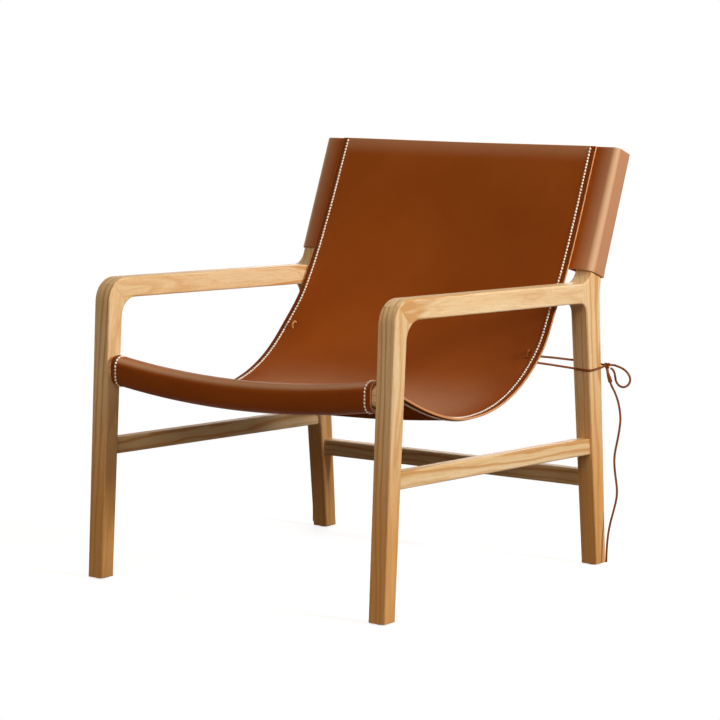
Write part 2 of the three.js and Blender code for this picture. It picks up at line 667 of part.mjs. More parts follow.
// Sleeve: one strip round the post, both ends laid together under the panel's edge, closed on top
function stripRing(points, thick) {
  const left = [];
  const right = [];
  points.forEach((p, i) => {
    const a = points[Math.max(0, i - 1)];
    const b = points[Math.min(points.length - 1, i + 1)];
    const u = (i ? p.clone().sub(a) : b.clone().sub(p)).normalize();
    const w = (i < points.length - 1 ? b.clone().sub(p) : p.clone().sub(a)).normalize();
    const t = u.clone().add(w).normalize();
    const n = v2(-t.y, t.x);
    const k = thick / 2 / Math.sqrt((1 + THREE.MathUtils.clamp(u.dot(w), -1, 1)) / 2);
    left.push(p.clone().addScaledVector(n, k));
    right.push(p.clone().addScaledVector(n, -k));
  });
  return left.concat(right.reverse());
}
// Open line with its inner corners eased over a given length each side
function easedLine(corners, segments) {
  const out = [];
  corners.forEach(([p, cut], i) => {
    if (i === 0 || i === corners.length - 1) {
      out.push(p.clone());
      return;
    }
    const before = corners[i - 1][0].clone().sub(p).normalize().multiplyScalar(cut).add(p);
    const after = corners[i + 1][0].clone().sub(p).normalize().multiplyScalar(cut).add(p);
    out.push(...new THREE.QuadraticBezierCurve(before, p, after).getPoints(segments));
  });
  return out;
}
// How far the panel's hidden face stands in front of the post's front face, along the post
function panelStand(along) {
  let lo = 0;
  let hi = 0.6;
  const down = (t) => backCurve.getPointAt(t).sub(knee).dot(postUp);
  for (let k = 0; k < 40; k++) {
    const mid = (lo + hi) / 2;
    if (down(mid) > along) lo = mid;
    else hi = mid;
  }
  const d = backCurve.getTangentAt(lo);
  const back = backCurve.getPointAt(lo).addScaledVector(v2(-d.y, d.x), LEATHER);
  return back.sub(knee).dot(postFore) - POST_DEPTH;
}
// How far the rounding at the knee stands behind the line of the post's back face
const kneeTurn = POST_LEAN + Math.atan(REAR_LEAN);
function kneeSwell(along) {
  const into = Math.max(0, KNEE_R * Math.tan(kneeTurn / 2) - along);
  return KNEE_R - Math.sqrt(KNEE_R ** 2 - into ** 2);
}
function sleeveSolid(s) {
  const mid = FIT + LEATHER / 2;
  const rings = [];
  const topAlong = POST_LENGTH + FIT + LEATHER;
  const sleeveLong = s > 0 ? SLEEVE_LONG_RIGHT : SLEEVE_LONG_LEFT;
  for (let k = 0; k <= SLEEVE_STEPS; k++) {
    const along = topAlong - (sleeveLong * k) / SLEEVE_STEPS;
    const stand = Math.max(panelStand(Math.min(along, POST_LENGTH)), mid + LEATHER / 2 + TUCK_CLEAR)
      - TUCK_CLEAR - LEATHER / 2;
    const backStand = stand - LEATHER - FIT;
    const r = EDGE_R + mid;
    const behind = -POST_DEPTH - mid - kneeSwell(along);
    const line = easedLine([
      [v2(halfTop - SLEEVE_TUCK, stand), 0],
      [v2(halfTop + SLEEVE_TURN, stand), SLEEVE_TURN],
      [v2(outerX + mid, mid), r],
      [v2(outerX + mid, behind), r],
      [v2(innerX - mid, behind), r],
      [v2(innerX - mid, Math.min(backStand, -mid) - SLEEVE_BACK_DROP), SLEEVE_EASE],
      [v2(halfTop - SLEEVE_BACK_IN, backStand), SLEEVE_EASE],
      [v2(halfTop - SLEEVE_TUCK, backStand), 0],
    ], 3);
    const ring = stripRing(line, LEATHER).map((q) => {
      const p = postAt(along, POST_DEPTH + q.y);
      return v3(s * q.x, p.x, p.y);
    });
    rings.push(s > 0 ? ring : ring.reverse());
  }
  const cap = roundedRect(
    FRAME_THICK + 2 * FIT + LEATHER, POST_DEPTH + 2 * FIT + LEATHER, EDGE_R, 3,
  ).map((q) => v2(midX(1) + q.x, -POST_DEPTH / 2 + q.y));
  const capRings = [POST_LENGTH + FIT, topAlong - CAP_SINK].map((along) => cap.map((q) => {
    const p = postAt(along, POST_DEPTH + q.y);
    return v3(s * q.x, p.x, p.y);
  }));
  const solid = (list) => {
    const m = toManifold(loft(list));
    return m.volume() < 0 || m.isEmpty() ? toManifold(loft(list.map((ring) => ring.slice().reverse()))) : m;
  };
  return solid(rings).add(solid(capRings));
}
for (const [side, s] of SIDES) add(`post_sleeve_${side}`, fromManifold(sleeveSolid(s)), hide());

// Lace: steps follow the hand-placed points, so tight turns get short steps
class Route extends THREE.CatmullRomCurve3 {
  getPointAt(t, target) { return this.getPoint(t, target); }
  getTangentAt(t, target) { return this.getTangent(t, target); }
  getSpacedPoints(n) { return this.getPoints(n); }
}
const laceSection = () => {
  const pts = [];
  for (let k = 0; k < 8; k++) {
    pts.push(v2((LACE_D / 2) * Math.cos((k * Math.PI) / 4), (LACE_D / 2) * Math.sin((k * Math.PI) / 4)));
  }
  return new THREE.Shape(pts);
};
function cord(points, perSpan) {
  const route = new Route(points, false, 'centripetal');
  return new THREE.ExtrudeGeometry(laceSection(), {
    steps: perSpan * (points.length - 1), extrudePath: route, bevelEnabled: false,
  });
}
const off = LACE_D / 2 + LACE_OFF;
const knotAt = (s) => v3(s * (outerX + KNOT_OUT), rearLegBack(KNOT_Z) + KNOT_BACK, KNOT_Z);
// Bow, short end and tail lie in an upright plane turned outwards and back from the leg's corner
const BOW_ROUTE = [
  [5.9, 1.2], [12, 0.8], [19.5, -1.6], [28, -5.4], [35, -11.2], [40, -18.5], [41.6, -26.5], [38, -34.8],
  [30, -38.8], [21.6, -35.6], [16.6, -28.4], [14.8, -20.4], [13.4, -13.4], [10.4, -7.6], [6.2, -4.2],
];
const TAIL_ROUTE = [
  [2.2, 0.039], [4.2, 0.067], [8.4, 0.101], [14, 0.132], [19, 0.168], [23, 0.213], [25.2, 0.269],
  [24, 0.316], [20.5, 0.378], [16.8, 0.434], [15.4, 0.476], [16.6, 0.532], [19.4, 0.59], [21, 0.632], [20, 0.678],
  [15.4, 0.737], [9.8, 0.801], [6.3, 0.86], [4.2, 0.93], [3.7, 1],
];
const END_OUTLINE = [[-3.3, -5.3], [0.3, -5.3], [9.6, -28.6], [2.6, -31.2]];
const outSpan = v2(0.8, 0.6);
const spread = (s, k, dz) => knotAt(s).add(v3(s * outSpan.x * k, outSpan.y * k, dz));
for (const [side, s] of SIDES) {
  const [a, b] = holes[side];
  const hop = (h, k) => h.at.clone().addScaledVector(h.out, k);
  const top = hop(a, LACE_HOLE_GAP / 2 + 0.6).add(hop(b, LACE_HOLE_GAP / 2 + 0.6)).multiplyScalar(0.5);
  const zIn = KNOT_Z + 9;
  const zUp = KNOT_Z + 11;
  const zLow = KNOT_Z - 3;
  const at = (x, y, z) => v3(s * x, y, z);
  const yB = (z) => rearLegBack(z) + off;
  const yF = (z) => rearLegFront(z) - off;
  const turn = EDGE_R * 0.3 - off * 0.7;
  const upperStart = knotAt(s).add(v3(-s * (KNOT_R + FIT), -0.5, 1));
  const lowerEnd = knotAt(s).add(v3(-s * 1.6, -(KNOT_R + FIT), -0.5));
  const upperLeg = at(innerX - off, yF(zIn) + 8, zUp);
  const lowerLeg = at(innerX + 6, yF(zLow) - 0.4, zLow);
  const points = [
    upperStart,
    at(outerX - 8, yB(KNOT_Z + 2) + 0.6, KNOT_Z + 2.5),
    at(innerX + FRAME_THICK / 2, yB(KNOT_Z + 4), KNOT_Z + 4),
    at(innerX + 6, yB(KNOT_Z + 6), KNOT_Z + 5.5),
    at(innerX + turn, rearLegBack(zIn) - turn, zIn - 2),
    at(innerX - off, yB(zIn) - 10, zIn - 1),
    at(innerX - off, (yB(zIn) + yF(zIn)) / 2, zIn),
    upperLeg,
    hop(a, -10).lerp(upperLeg, 0.5),
    hop(a, -11).lerp(upperLeg, 0.12),
    hop(a, -8),
    hop(a, -3),
    hop(a, 3),
    top,
    hop(b, 3),
    hop(b, -3),
    hop(b, -8),
    hop(b, -12).lerp(lowerLeg, 0.12),
    hop(b, -12).lerp(lowerLeg, 0.5),
    lowerLeg,
    at(innerX + FRAME_THICK / 2, yF(zLow), zLow - 0.8),
    at(outerX - 6, yF(zLow), zLow - 1.4),
    at(outerX - turn, rearLegFront(zLow) + turn, zLow - 1.6),
    at(outerX + off, yF(zLow) + 9, zLow - 1.4),
    at(outerX + off, (yB(zLow) + yF(zLow)) / 2, zLow - 0.6),
    at(outerX + off + 0.6, yB(zLow) - 10, zLow + 0.6),
    lowerEnd,
  ];
  add(`lace_${side}`, cord(points, 2), thong());
  const knot = new THREE.LatheGeometry([
    v2(0, -KNOT_R), v2(KNOT_R * 0.6, -KNOT_R * 0.8), v2(KNOT_R * 0.95, -KNOT_R * 0.3),
    v2(KNOT_R * 0.95, KNOT_R * 0.3), v2(KNOT_R * 0.6, KNOT_R * 0.8), v2(0, KNOT_R),
  ], 14);
  knot.rotateX(Math.PI / 2);
  knot.translate(...knotAt(s).toArray());
  add(`lace_knot_${side}`, fromManifold(toManifold(knot)), thong());
  const bow = BOW_ROUTE.map(([k, dz]) => spread(s, k, dz));
  add(`lace_bow_${side}`, cord(bow, 2), thong());
  // Short flat end of the lace, widening downwards, hanging in front of the tail
  const endShape = new THREE.Shape(END_OUTLINE.map(([k, dz]) => v2(s * k, dz)));
  const end = new THREE.ExtrudeGeometry(endShape, { depth: END_THICK, steps: 1, bevelEnabled: false });
  end.translate(0, 0, END_FORE - END_THICK / 2);
  end.applyMatrix4(new THREE.Matrix4().makeBasis(
    v3(outSpan.x, s * outSpan.y, 0), v3(0, 0, 1), v3(s * outSpan.y, -outSpan.x, 0),
  ).setPosition(knotAt(s)));
  add(`lace_end_${side}`, fromManifold(toManifold(end)), thong());
  const drop = KNOT_Z - TAIL_CLEAR;
  const tail = TAIL_ROUTE.map(([k, f]) => spread(s, k, -f * drop));
  tail.unshift(spread(s, 0.8, -KNOT_R - FIT));
  add(`lace_tail_${side}`, cord(tail, 2), thong());
}

// Origin on the floor under the middle of the frame and sling; the laces don't count
const extent = new THREE.Box3();
chair.children.forEach((mesh) => {
  mesh.geometry.computeBoundingBox();
  if (!mesh.name.startsWith('lace_')) extent.union(mesh.geometry.boundingBox);
});
const middle = extent.getCenter(v3(0, 0, 0));
chair.children.forEach((mesh) => mesh.geometry.translate(-middle.x, -middle.y, -extent.min.z));

export default chair;
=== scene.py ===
import math

import bpy
import numpy as np
from mathutils import Matrix, Vector, noise


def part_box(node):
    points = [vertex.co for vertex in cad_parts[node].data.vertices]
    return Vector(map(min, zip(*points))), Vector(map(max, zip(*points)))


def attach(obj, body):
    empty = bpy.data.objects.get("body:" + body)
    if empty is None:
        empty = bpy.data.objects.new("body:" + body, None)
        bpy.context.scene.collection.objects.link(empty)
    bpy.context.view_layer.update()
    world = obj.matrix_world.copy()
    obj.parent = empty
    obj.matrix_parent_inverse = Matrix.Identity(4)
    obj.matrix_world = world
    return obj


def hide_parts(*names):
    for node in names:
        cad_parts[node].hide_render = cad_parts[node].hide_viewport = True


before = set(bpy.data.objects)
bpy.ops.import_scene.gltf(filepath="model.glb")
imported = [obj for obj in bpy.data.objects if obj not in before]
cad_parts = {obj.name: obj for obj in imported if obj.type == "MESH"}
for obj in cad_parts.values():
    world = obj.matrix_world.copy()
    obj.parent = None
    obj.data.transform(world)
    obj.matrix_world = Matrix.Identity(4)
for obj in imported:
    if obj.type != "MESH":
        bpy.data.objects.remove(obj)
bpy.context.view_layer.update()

# Camera, fitted to the photograph's 720 by 720 frame
CAMERA_AT = (2.9162, -3.86736, 0.9615)
CAMERA_YAW = math.radians(37.0445)
CAMERA_PITCH = math.radians(6.9022)
CAMERA_ROLL = math.radians(0.2144)
CAMERA_LENS = 137.43
CAMERA_SENSOR = 36.0
CAMERA_REACH = 50

# Side frames, in metres
FRAME_WIDTH = 0.650
FRAME_THICK = 0.035
EDGE_R = 0.0035
FIT = 0.0003
GLIDE_STAND = 0.002
FRONT_FOOT_Y = -0.3352
FRONT_FOOT_DEPTH = 0.029
FRONT_LEAN = 0.0481
FRONT_TAPER = 0.0125
REAR_FOOT_Y = 0.3363
REAR_FOOT_DEPTH = 0.029
REAR_LEAN = 0.0668
REAR_TAPER = 0.0324
ARM_FRONT_TOP = 0.5277
ARM_FALL = 0.0235
ARM_HEIGHT = 0.0354
KNEE_Z = 0.509
KNEE_R = 0.150
POST_LEAN = math.radians(21.1)
POST_DEPTH = 0.035
POST_LENGTH = 0.240
SIDE_STRETCHER_FALL = 0.0215

# Front rail
RAIL_Z = 0.368
RAIL_DISH = 0.022
RAIL_TALL = 0.042
RAIL_DEEP = 0.028
RAIL_R = 0.012

# Sling panel
LEATHER = 0.004
PANEL_TOP_IN = 0.006
ARM_CLEAR = 0.003
SEAT_OVER = 0.004
SEAT_WIDEN = 0.080
ROLL_END_IN = 0.008
FRONT_NARROW = 0.8
PANEL_TOP_RISE = 0.004
BACK_SLOPE = 2.35
SEAT_LOW = (-0.052, 0.308)
BACK_PULL = 0.250
SEAT_PULL = 0.236
FRONT_PULL = 0.080
RAIL_PULL = 0.100
RAIL_SLOPE = 0.505
SAG_BACK = 0.014
SAG_SEAT = 0.014
SAG_TOP = 0.0025
SAG_GROW = 0.3
BACK_REACH = 0.91
ROLL_CLEAR = 0.0009
FLAP_BEHIND = 0.036
FLAP_LONG = 0.024
CUT_R = 0.0012

# Sleeves
SLEEVE_LONG = {1: 0.231, -1: 0.220}
SLEEVE_TUCK = 0.022
SLEEVE_TURN = 0.003
SLEEVE_BACK_IN = 0.005
SLEEVE_BACK_DROP = 0.004
SLEEVE_EASE = 0.0034
SLEEVE_SOFT = 0.0056
TUCK_CLEAR = 0.0007

# Stitching
STITCH_IN = 0.0115
STITCH_PITCH = 0.0060
STITCH_LONG = 0.0033
STITCH_R = 0.0019
GROOVE_DEEP = 0.0004
GROOVE_HALF = 0.0014

# Laces
LACE_D = 0.004
LACE_HOLE_D = 0.0058
LACE_HOLE_GAP = 0.012
LACE_HOLE_IN = {1: 0.024, -1: 0.029}
LACE_HOLE_Z = {1: 0.394, -1: 0.408}
LACE_OFF = 0.001
KNOT_Z = 0.363
KNOT_R = 0.006
KNOT_OUT = 0.0068
KNOT_BACK = 0.0073
END_FORE = 0.004
TAIL_CLEAR = 0.006

SIDES = {"left": -1, "right": 1}
outer_x = FRAME_WIDTH / 2
inner_x = outer_x - FRAME_THICK
half_top = inner_x - PANEL_TOP_IN
half_arm = inner_x - ARM_CLEAR
half_seat = inner_x + SEAT_OVER
half_front = inner_x - ROLL_END_IN


# Faces of the legs and arms, as lines in the YZ plane before centring
def front_leg_front(z):
    return FRONT_FOOT_Y + FRONT_LEAN * z


def front_leg_back(z):
    return FRONT_FOOT_Y + FRONT_FOOT_DEPTH + (FRONT_LEAN + FRONT_TAPER) * z


def rear_leg_back(z):
    return REAR_FOOT_Y - REAR_LEAN * z


def rear_leg_front(z):
    return REAR_FOOT_Y - REAR_FOOT_DEPTH - (REAR_LEAN + REAR_TAPER) * z


def arm_bottom(y):
    return ARM_FRONT_TOP - ARM_FALL * (y - front_leg_front(ARM_FRONT_TOP)) - ARM_HEIGHT


# The CAD frame is centred on the floor, so its Y is moved a little: a leg tells how far
shift_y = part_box("front_leg_right")[0].y - front_leg_front(GLIDE_STAND)
post_up = np.array([math.sin(POST_LEAN), math.cos(POST_LEAN)])
post_fore = np.array([-math.cos(POST_LEAN), math.sin(POST_LEAN)])
knee = np.array([rear_leg_back(KNEE_Z), KNEE_Z])


def post_at(along, fore):
    return knee + along * post_up + fore * post_fore


def unit(v):
    v = np.asarray(v, float)
    return v / np.linalg.norm(v)


def ease(t):
    t = np.clip(t, 0, 1)
    return t * t * (3 - 2 * t)


def mix(a, b, t):
    return a + (b - a) * t


def between(run, start, grow, stop, fade):
    return ease((run - start) / grow) * ease((stop - run) / fade)


def line_length(line):
    return float(np.sum(np.linalg.norm(np.diff(line, axis=0), axis=1)))


def add_camera():
    tilt = Matrix.Rotation(math.pi / 2 - CAMERA_PITCH, 4, "X")
    turn = Matrix.Rotation(CAMERA_YAW, 4, "Z") @ tilt @ Matrix.Rotation(CAMERA_ROLL, 4, "Z")
    data = bpy.data.cameras.new("camera")
    data.lens = CAMERA_LENS
    data.sensor_width = CAMERA_SENSOR
    data.clip_end = CAMERA_REACH
    camera = bpy.data.objects.new("camera", data)
    camera.matrix_world = Matrix.Translation(CAMERA_AT) @ turn
    bpy.context.scene.collection.objects.link(camera)
    bpy.context.scene.camera = camera


# Shader helpers
class Shader:
    """A new material or world, with a few short ways to add and join nodes."""

    def __init__(self, name, kind="materials"):
        self.owner = getattr(bpy.data, kind).new(name)
        self.owner.use_nodes = True
        self.nodes = self.owner.node_tree.nodes

    def join(self, a, b):
        self.owner.node_tree.links.new(a, b)

    def feed(self, socket, value):
        """A socket takes a link from another socket, or else a plain value."""
        if isinstance(value, bpy.types.NodeSocket):
            self.join(value, socket)
        elif socket.type == "RGBA":
            socket.default_value = (*value, 1)
        else:
            socket.default_value = value

    def node(self, kind, inputs=None, **settings):
        made = self.nodes.new(kind)
        for name, value in settings.items():
            setattr(made, name, value)
        for name, value in (inputs or {}).items():
            self.feed(made.inputs[name], value)
        return made

    def place(self):
        return self.node("ShaderNodeTexCoord").outputs["Object"]

    def mapping(self, vector, **inputs):
        return self.node("ShaderNodeMapping", {"Vector": vector, **inputs}).outputs["Vector"]

    def calc(self, operation, *values, **settings):
        made = self.node("ShaderNodeMath", dict(enumerate(values)), operation=operation, **settings)
        return made.outputs["Value"]

    def vector(self, operation, *values, output="Vector"):
        made = self.node("ShaderNodeVectorMath", dict(enumerate(values)), operation=operation)
        return made.outputs[output]

    def noise(self, vector, scale, detail=2.0, rough=0.5):
        return self.node("ShaderNodeTexNoise", {
            "Vector": vector, "Scale": scale, "Detail": detail, "Roughness": rough,
        }).outputs["Fac"]

    def ramp(self, fac, stops):
        made = self.node("ShaderNodeValToRGB", {"Fac": fac})
        elements = made.color_ramp.elements
        while len(elements) < len(stops):
            elements.new(0.5)
        for element, (place, colour) in zip(elements, stops):
            element.position = place
            element.color = (*colour, 1)
        return made.outputs["Color"]

    def span(self, fac, low, high, to_low, to_high):
        return self.node("ShaderNodeMapRange", {
            "Value": fac, "From Min": low, "From Max": high, "To Min": to_low, "To Max": to_high,
        }).outputs["Result"]

    def blend(self, kind, fac, a, b):
        made = self.node("ShaderNodeMix", {0: fac, 6: a, 7: b}, data_type="RGBA", blend_type=kind)
        return made.outputs[2]

    def pick(self, fac, a, b):
        return self.node("ShaderNodeMixShader", {0: fac, 1: a.outputs[0], 2: b.outputs[0]})

    def seen(self):
        """One where a camera, glossy or transmission ray looks, else zero."""
        rays = self.node("ShaderNodeLightPath").outputs
        direct = self.calc("MAXIMUM", rays["Is Camera Ray"], rays["Is Glossy Ray"])
        return self.calc("MAXIMUM", direct, rays["Is Transmission Ray"])

    def finish(self, colour, fac, roughness, height, bump, sheen=None):
        """Sets the surface: its colour, its roughness as a span of fac, and its bump by height."""
        strength, depth = bump
        raised = self.node("ShaderNodeBump", {"Height": height, "Strength": strength, "Distance": depth})
        inputs = {
            "Base Color": colour, "Roughness": self.span(fac, *roughness),
            "Normal": raised.outputs["Normal"], **(sheen or {}),
        }
        for name, value in inputs.items():
            self.feed(self.nodes["Principled BSDF"].inputs[name], value)
        return self.owner


# Most values of a noise lie between these two
NOISE_SPAN = (0.3, 0.7)


def speckled(name, grain, tones, roughness, bump):
    """A plain material: one fine noise sets its tone, its roughness and its surface."""
    shader = Shader(name)
    speck = shader.noise(shader.place(), *grain)
    colour = shader.ramp(speck, tuple(zip(NOISE_SPAN, tones)))
    return shader.finish(colour, speck, (*NOISE_SPAN, *roughness), speck, bump)


# Wood: growth rings round an axis that runs beside the piece, broad tone and fine pores along the grain.
# A noise is given by its scale, detail and roughness, tones by their places in a noise, a span by a range
# of values and the range it becomes, and a bump by its strength and depth
WOOD_TONES = ((0.30, (0.77, 0.510, 0.245)), (0.66, (0.82, 0.615, 0.370)))
WOOD_DEEP = (0.58, 0.270, 0.080)
WOOD_PORE = (0.44, 0.185, 0.055)
WOOD_FOOT_AMBER = (0.72, 0.330, 0.085)
WOOD_SHEEN = {"Specular IOR Level": 0.06, "Specular Tint": (1.0, 0.62, 0.32)}
WOOD_ROUGH = (0.3, 0.8, 0.42, 0.54)
WOOD_BUMP = (0.10, 0.0004)
# A leg turns more amber towards its foot: fully below the lower height, not at all above the higher
AMBER_HIGH = 0.36
AMBER_LOW = 0.14
AMBER_SHARE = 0.8
RING_PITCH = 0.0052
RING_BEND = 0.016
RING_SPAN = (0.46, 0.70, 0, 0.80)
CURL_NOISE = (30, 2)
CURL_STRETCH = (1, 1, 0.16)
WANDER_NOISE = (22, 3)
STREAK_NOISE = (420, 3, 0.6)
STREAK_STRETCH = (1, 1, 0.035)
STREAK_SPAN = (0.50, 0.76, 0, 0.50)
PORE_NOISE = (1500, 1)
PORE_STRETCH = (1, 1, 0.06)
PORE_SPAN = (0.58, 0.72, 0, 0.28)

# The pith of each board, measured out from its seen side face, along Y and up, and its grain's drift
LEG_PITH = (0.045, -0.335, 0.20)
ARM_PITH_OUT = 0.055
POST_PITH = (0.060, 0.300, 0.30)
BAR_PITH = (0.050, 0.0, 0.27)
TENON_PITH = (0.0, 0.0, 0.40)
REAR_PITH = (0.0, 0.37, 0.08)
RAIL_PITH = (0.0, -0.40, 0.30)
GRAIN_DRIFT = {1: -0.016, -1: 0.030}
SHADE_ANGLE = math.radians(42)
WELD_WITHIN = 1e-5


def wood(name, axis, pith, seed, foot_amber=0.0):
    """Grain along axis; pith is the tree's middle, in the row frame; the last value is how far a leg turns
    more amber towards its foot.
    """
    shader = Shader(name)
    turn = Vector((0, 0, 1)).rotation_difference(Vector(axis)).inverted().to_euler()
    place = shader.place()
    along = shader.mapping(shader.vector("SUBTRACT", place, pith), Rotation=turn)
    streaky = shader.mapping(along, Scale=STREAK_STRETCH, Location=(seed, seed * 0.7, seed * 0.3))
    streak = shader.noise(streaky, *STREAK_NOISE)
    porous = shader.mapping(along, Scale=PORE_STRETCH, Location=(seed, 0, 0))
    pores = shader.noise(porous, *PORE_NOISE)
    # Distance from the pith, bent a little, sets the ring: rings differ in width and depth
    away = shader.vector("LENGTH", shader.vector("MULTIPLY", along, (1, 1, 0)), output="Value")
    curl = shader.mapping(along, Scale=CURL_STRETCH, Location=(seed * 0.3, seed, 0))
    bent = shader.calc("MULTIPLY_ADD", shader.noise(curl, *CURL_NOISE), RING_BEND, away)
    rings = shader.node("ShaderNodeTexNoise", {
        "W": bent, "Scale": 1 / RING_PITCH, "Detail": 2.0, "Roughness": 0.55,
    }, noise_dimensions="1D").outputs["Fac"]
    wander = shader.noise(streaky, *WANDER_NOISE)
    tone = shader.ramp(wander, WOOD_TONES)
    # More amber towards a leg's foot, fading out above
    if foot_amber:
        height = shader.node("ShaderNodeSeparateXYZ", {0: place}).outputs["Z"]
        tone = shader.blend("MIX", shader.span(height, AMBER_LOW, AMBER_HIGH, foot_amber, 0), tone, WOOD_FOOT_AMBER)
    for figure, span, colour in (
        (rings, RING_SPAN, WOOD_DEEP), (streak, STREAK_SPAN, WOOD_DEEP), (pores, PORE_SPAN, WOOD_PORE),
    ):
        tone = shader.blend("MIX", shader.span(figure, *span), tone, colour)
    return shader.finish(tone, streak, WOOD_ROUGH, pores, WOOD_BUMP, WOOD_SHEEN)


def glide_plastic():
    tones = ((0.030, 0.029, 0.028), (0.046, 0.045, 0.043))
    return speckled("glide_plastic", (900, 2), tones, roughness=(0.5, 0.65), bump=(0.2, 0.0002))


def shade_group():
    """Faces that meet at a small angle shade as one; joints and ends stay crisp."""
    group = bpy.data.node_groups.new("shade_by_angle", "GeometryNodeTree")
    for way in ("INPUT", "OUTPUT"):
        group.interface.new_socket("Geometry", in_out=way, socket_type="NodeSocketGeometry")
    first, last, angle, small, edges, faces = (group.nodes.new(kind) for kind in (
        "NodeGroupInput", "NodeGroupOutput", "GeometryNodeInputMeshEdgeAngle", "FunctionNodeCompare",
        "GeometryNodeSetShadeSmooth", "GeometryNodeSetShadeSmooth",
    ))
    small.operation = "LESS_THAN"
    small.inputs[1].default_value = SHADE_ANGLE
    edges.domain = "EDGE"
    faces.domain = "FACE"
    join = group.links.new
    join(angle.outputs["Unsigned Angle"], small.inputs[0])
    join(first.outputs[0], edges.inputs["Geometry"])
    join(small.outputs[0], edges.inputs["Shade Smooth"])
    join(edges.outputs[0], faces.inputs["Geometry"])
    join(faces.outputs[0], last.inputs[0])
    return group


def dress(node, material, group):
    """A CAD piece keeps its shape: its facets are welded and shaded smooth, and it gets a material."""
    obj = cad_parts[node]
    weld = obj.modifiers.new("weld", "WELD")
    weld.merge_threshold = WELD_WITHIN
    shade = obj.modifiers.new("shade", "NODES")
    shade.node_group = group
    normals = obj.modifiers.new("normals", "WEIGHTED_NORMAL")
    normals.keep_sharp = True
    for slot in obj.material_slots:
        slot.material = material


def dress_frame():
    group = shade_group()
    plastic = glide_plastic()
    leg = Vector((0, FRONT_LEAN, 1)).normalized()
    arm = Vector((0, 1, -ARM_FALL)).normalized()
    post = Vector((0, -REAR_LEAN, 1)).normalized()
    bar = Vector((0, 1, -SIDE_STRETCHER_FALL)).normalized()
    cross = Vector((1, 0, 0))
    arm_pith = (ARM_PITH_OUT, 0, arm_bottom(0) + ARM_HEIGHT / 2)
    for side, s in SIDES.items():
        # Flat-sawn boards: the pith lies beyond the seen side face and drifts away from it
        seen_x = outer_x if s > 0 else -inner_x
        drift = Vector((GRAIN_DRIFT[s], 0, 0))
        for board, axis, (out, y, z), seed, foot_amber in (
            ("front_leg", leg, LEG_PITH, 3.1, AMBER_SHARE), ("arm", arm, arm_pith, 5.7, 0),
            ("rear_post", post, POST_PITH, 8.3, AMBER_SHARE), ("side_stretcher", bar, BAR_PITH, 11.9, 0),
        ):
            material = wood(f"wood_{board}_{side}", axis + drift, (seen_x + out, y, z), seed + s, foot_amber)
            dress(f"{board}_{side}", material, group)
        for tenon in ("corner_tenon", "arm_tenon"):
            dress(f"{tenon}_{side}", wood(f"wood_{tenon}_{side}", arm, TENON_PITH, 2.3 + s), group)
        for glide in ("glide_front", "glide_rear"):
            dress(f"{glide}_{side}", plastic, group)
    dress("rear_stretcher", wood("wood_rear_stretcher", cross, REAR_PITH, 14.2), group)
    dress("front_rail", wood("wood_front_rail", cross, RAIL_PITH, 17.6), group)


# Leather: tones, then sheen, roughness, bump and noises, given as for the wood
HIDE_MID = (0.320, 0.071, 0.0066)
HIDE_PALE = (0.355, 0.086, 0.0105)
HIDE_TONES = ((0.30, (0.285, 0.059, 0.0046)), (0.52, HIDE_MID), (0.76, HIDE_PALE))
PEBBLE_DEEP = (0.62, 0.52, 0.42)
# Paler tone for painted highlights and darker factor for painted shade, both set by the mesh's painted
# light attribute
PAINTED_HIGHLIGHT = (0.66, 0.405, 0.235)
PAINTED_SHADE = (0.42, 0.34, 0.26)
HIDE_SHEEN = {"Specular IOR Level": 0.13, "Specular Tint": (1.0, 0.58, 0.28)}
HIDE_ROUGH = (*NOISE_SPAN, 0.52, 0.62)
HIDE_BUMP = (0.16, 0.0003)
CLOUD_NOISE = (5.5, 4, 0.55)
MOTTLE_NOISE = (60, 3, 0.6)
MOTTLE_SPAN = (0.45, 0.75, 0, 0.16)
PEBBLE_SCALE = 950
PEBBLE_SPAN = (0.25, 0.75, 0, 0.16)
FINE_NOISE = (2600, 2)
FLESH_TONES = ((0.30, (0.220, 0.056, 0.012)), (0.72, (0.310, 0.092, 0.024)))
FLESH_SHEEN = {"Specular IOR Level": 0.0}
FLESH_ROUGH = (*NOISE_SPAN, 0.70, 0.88)
FLESH_BUMP = (0.3, 0.0003)
FLESH_NOISE = (14, 4, 0.6)
NAP_NOISE = (1900, 3, 0.7)
NAP_SPAN = (0.45, 0.80, 0, 0.30)
LACE_TONES = ((0.30, (0.160, 0.042, 0.0095)), (0.70, (0.290, 0.088, 0.0220)))
LACE_RUBBED = (0.350, 0.125, 0.0380)
# Painted highlight on the lace's loops at the holes: its tone, where it ends across, its fade and its share
LACE_LOOP_HIGHLIGHT = (0.640, 0.270, 0.0950)
LACE_LOOP_TO = 0.268
LACE_LOOP_FADE = 0.004
LACE_LOOP_HIGHLIGHT_SHARE = 0.8
LACE_SHEEN = {"Specular IOR Level": 0.10, "Specular Tint": (1.0, 0.6, 0.3)}
LACE_ROUGH = (*NOISE_SPAN, 0.45, 0.60)
LACE_BUMP = (0.25, 0.0002)
LACE_CLOUD = (120, 3)
LACE_GRAIN = (2100, 2)
LACE_SPAN = (0.5, 0.8, 0, 0.3)


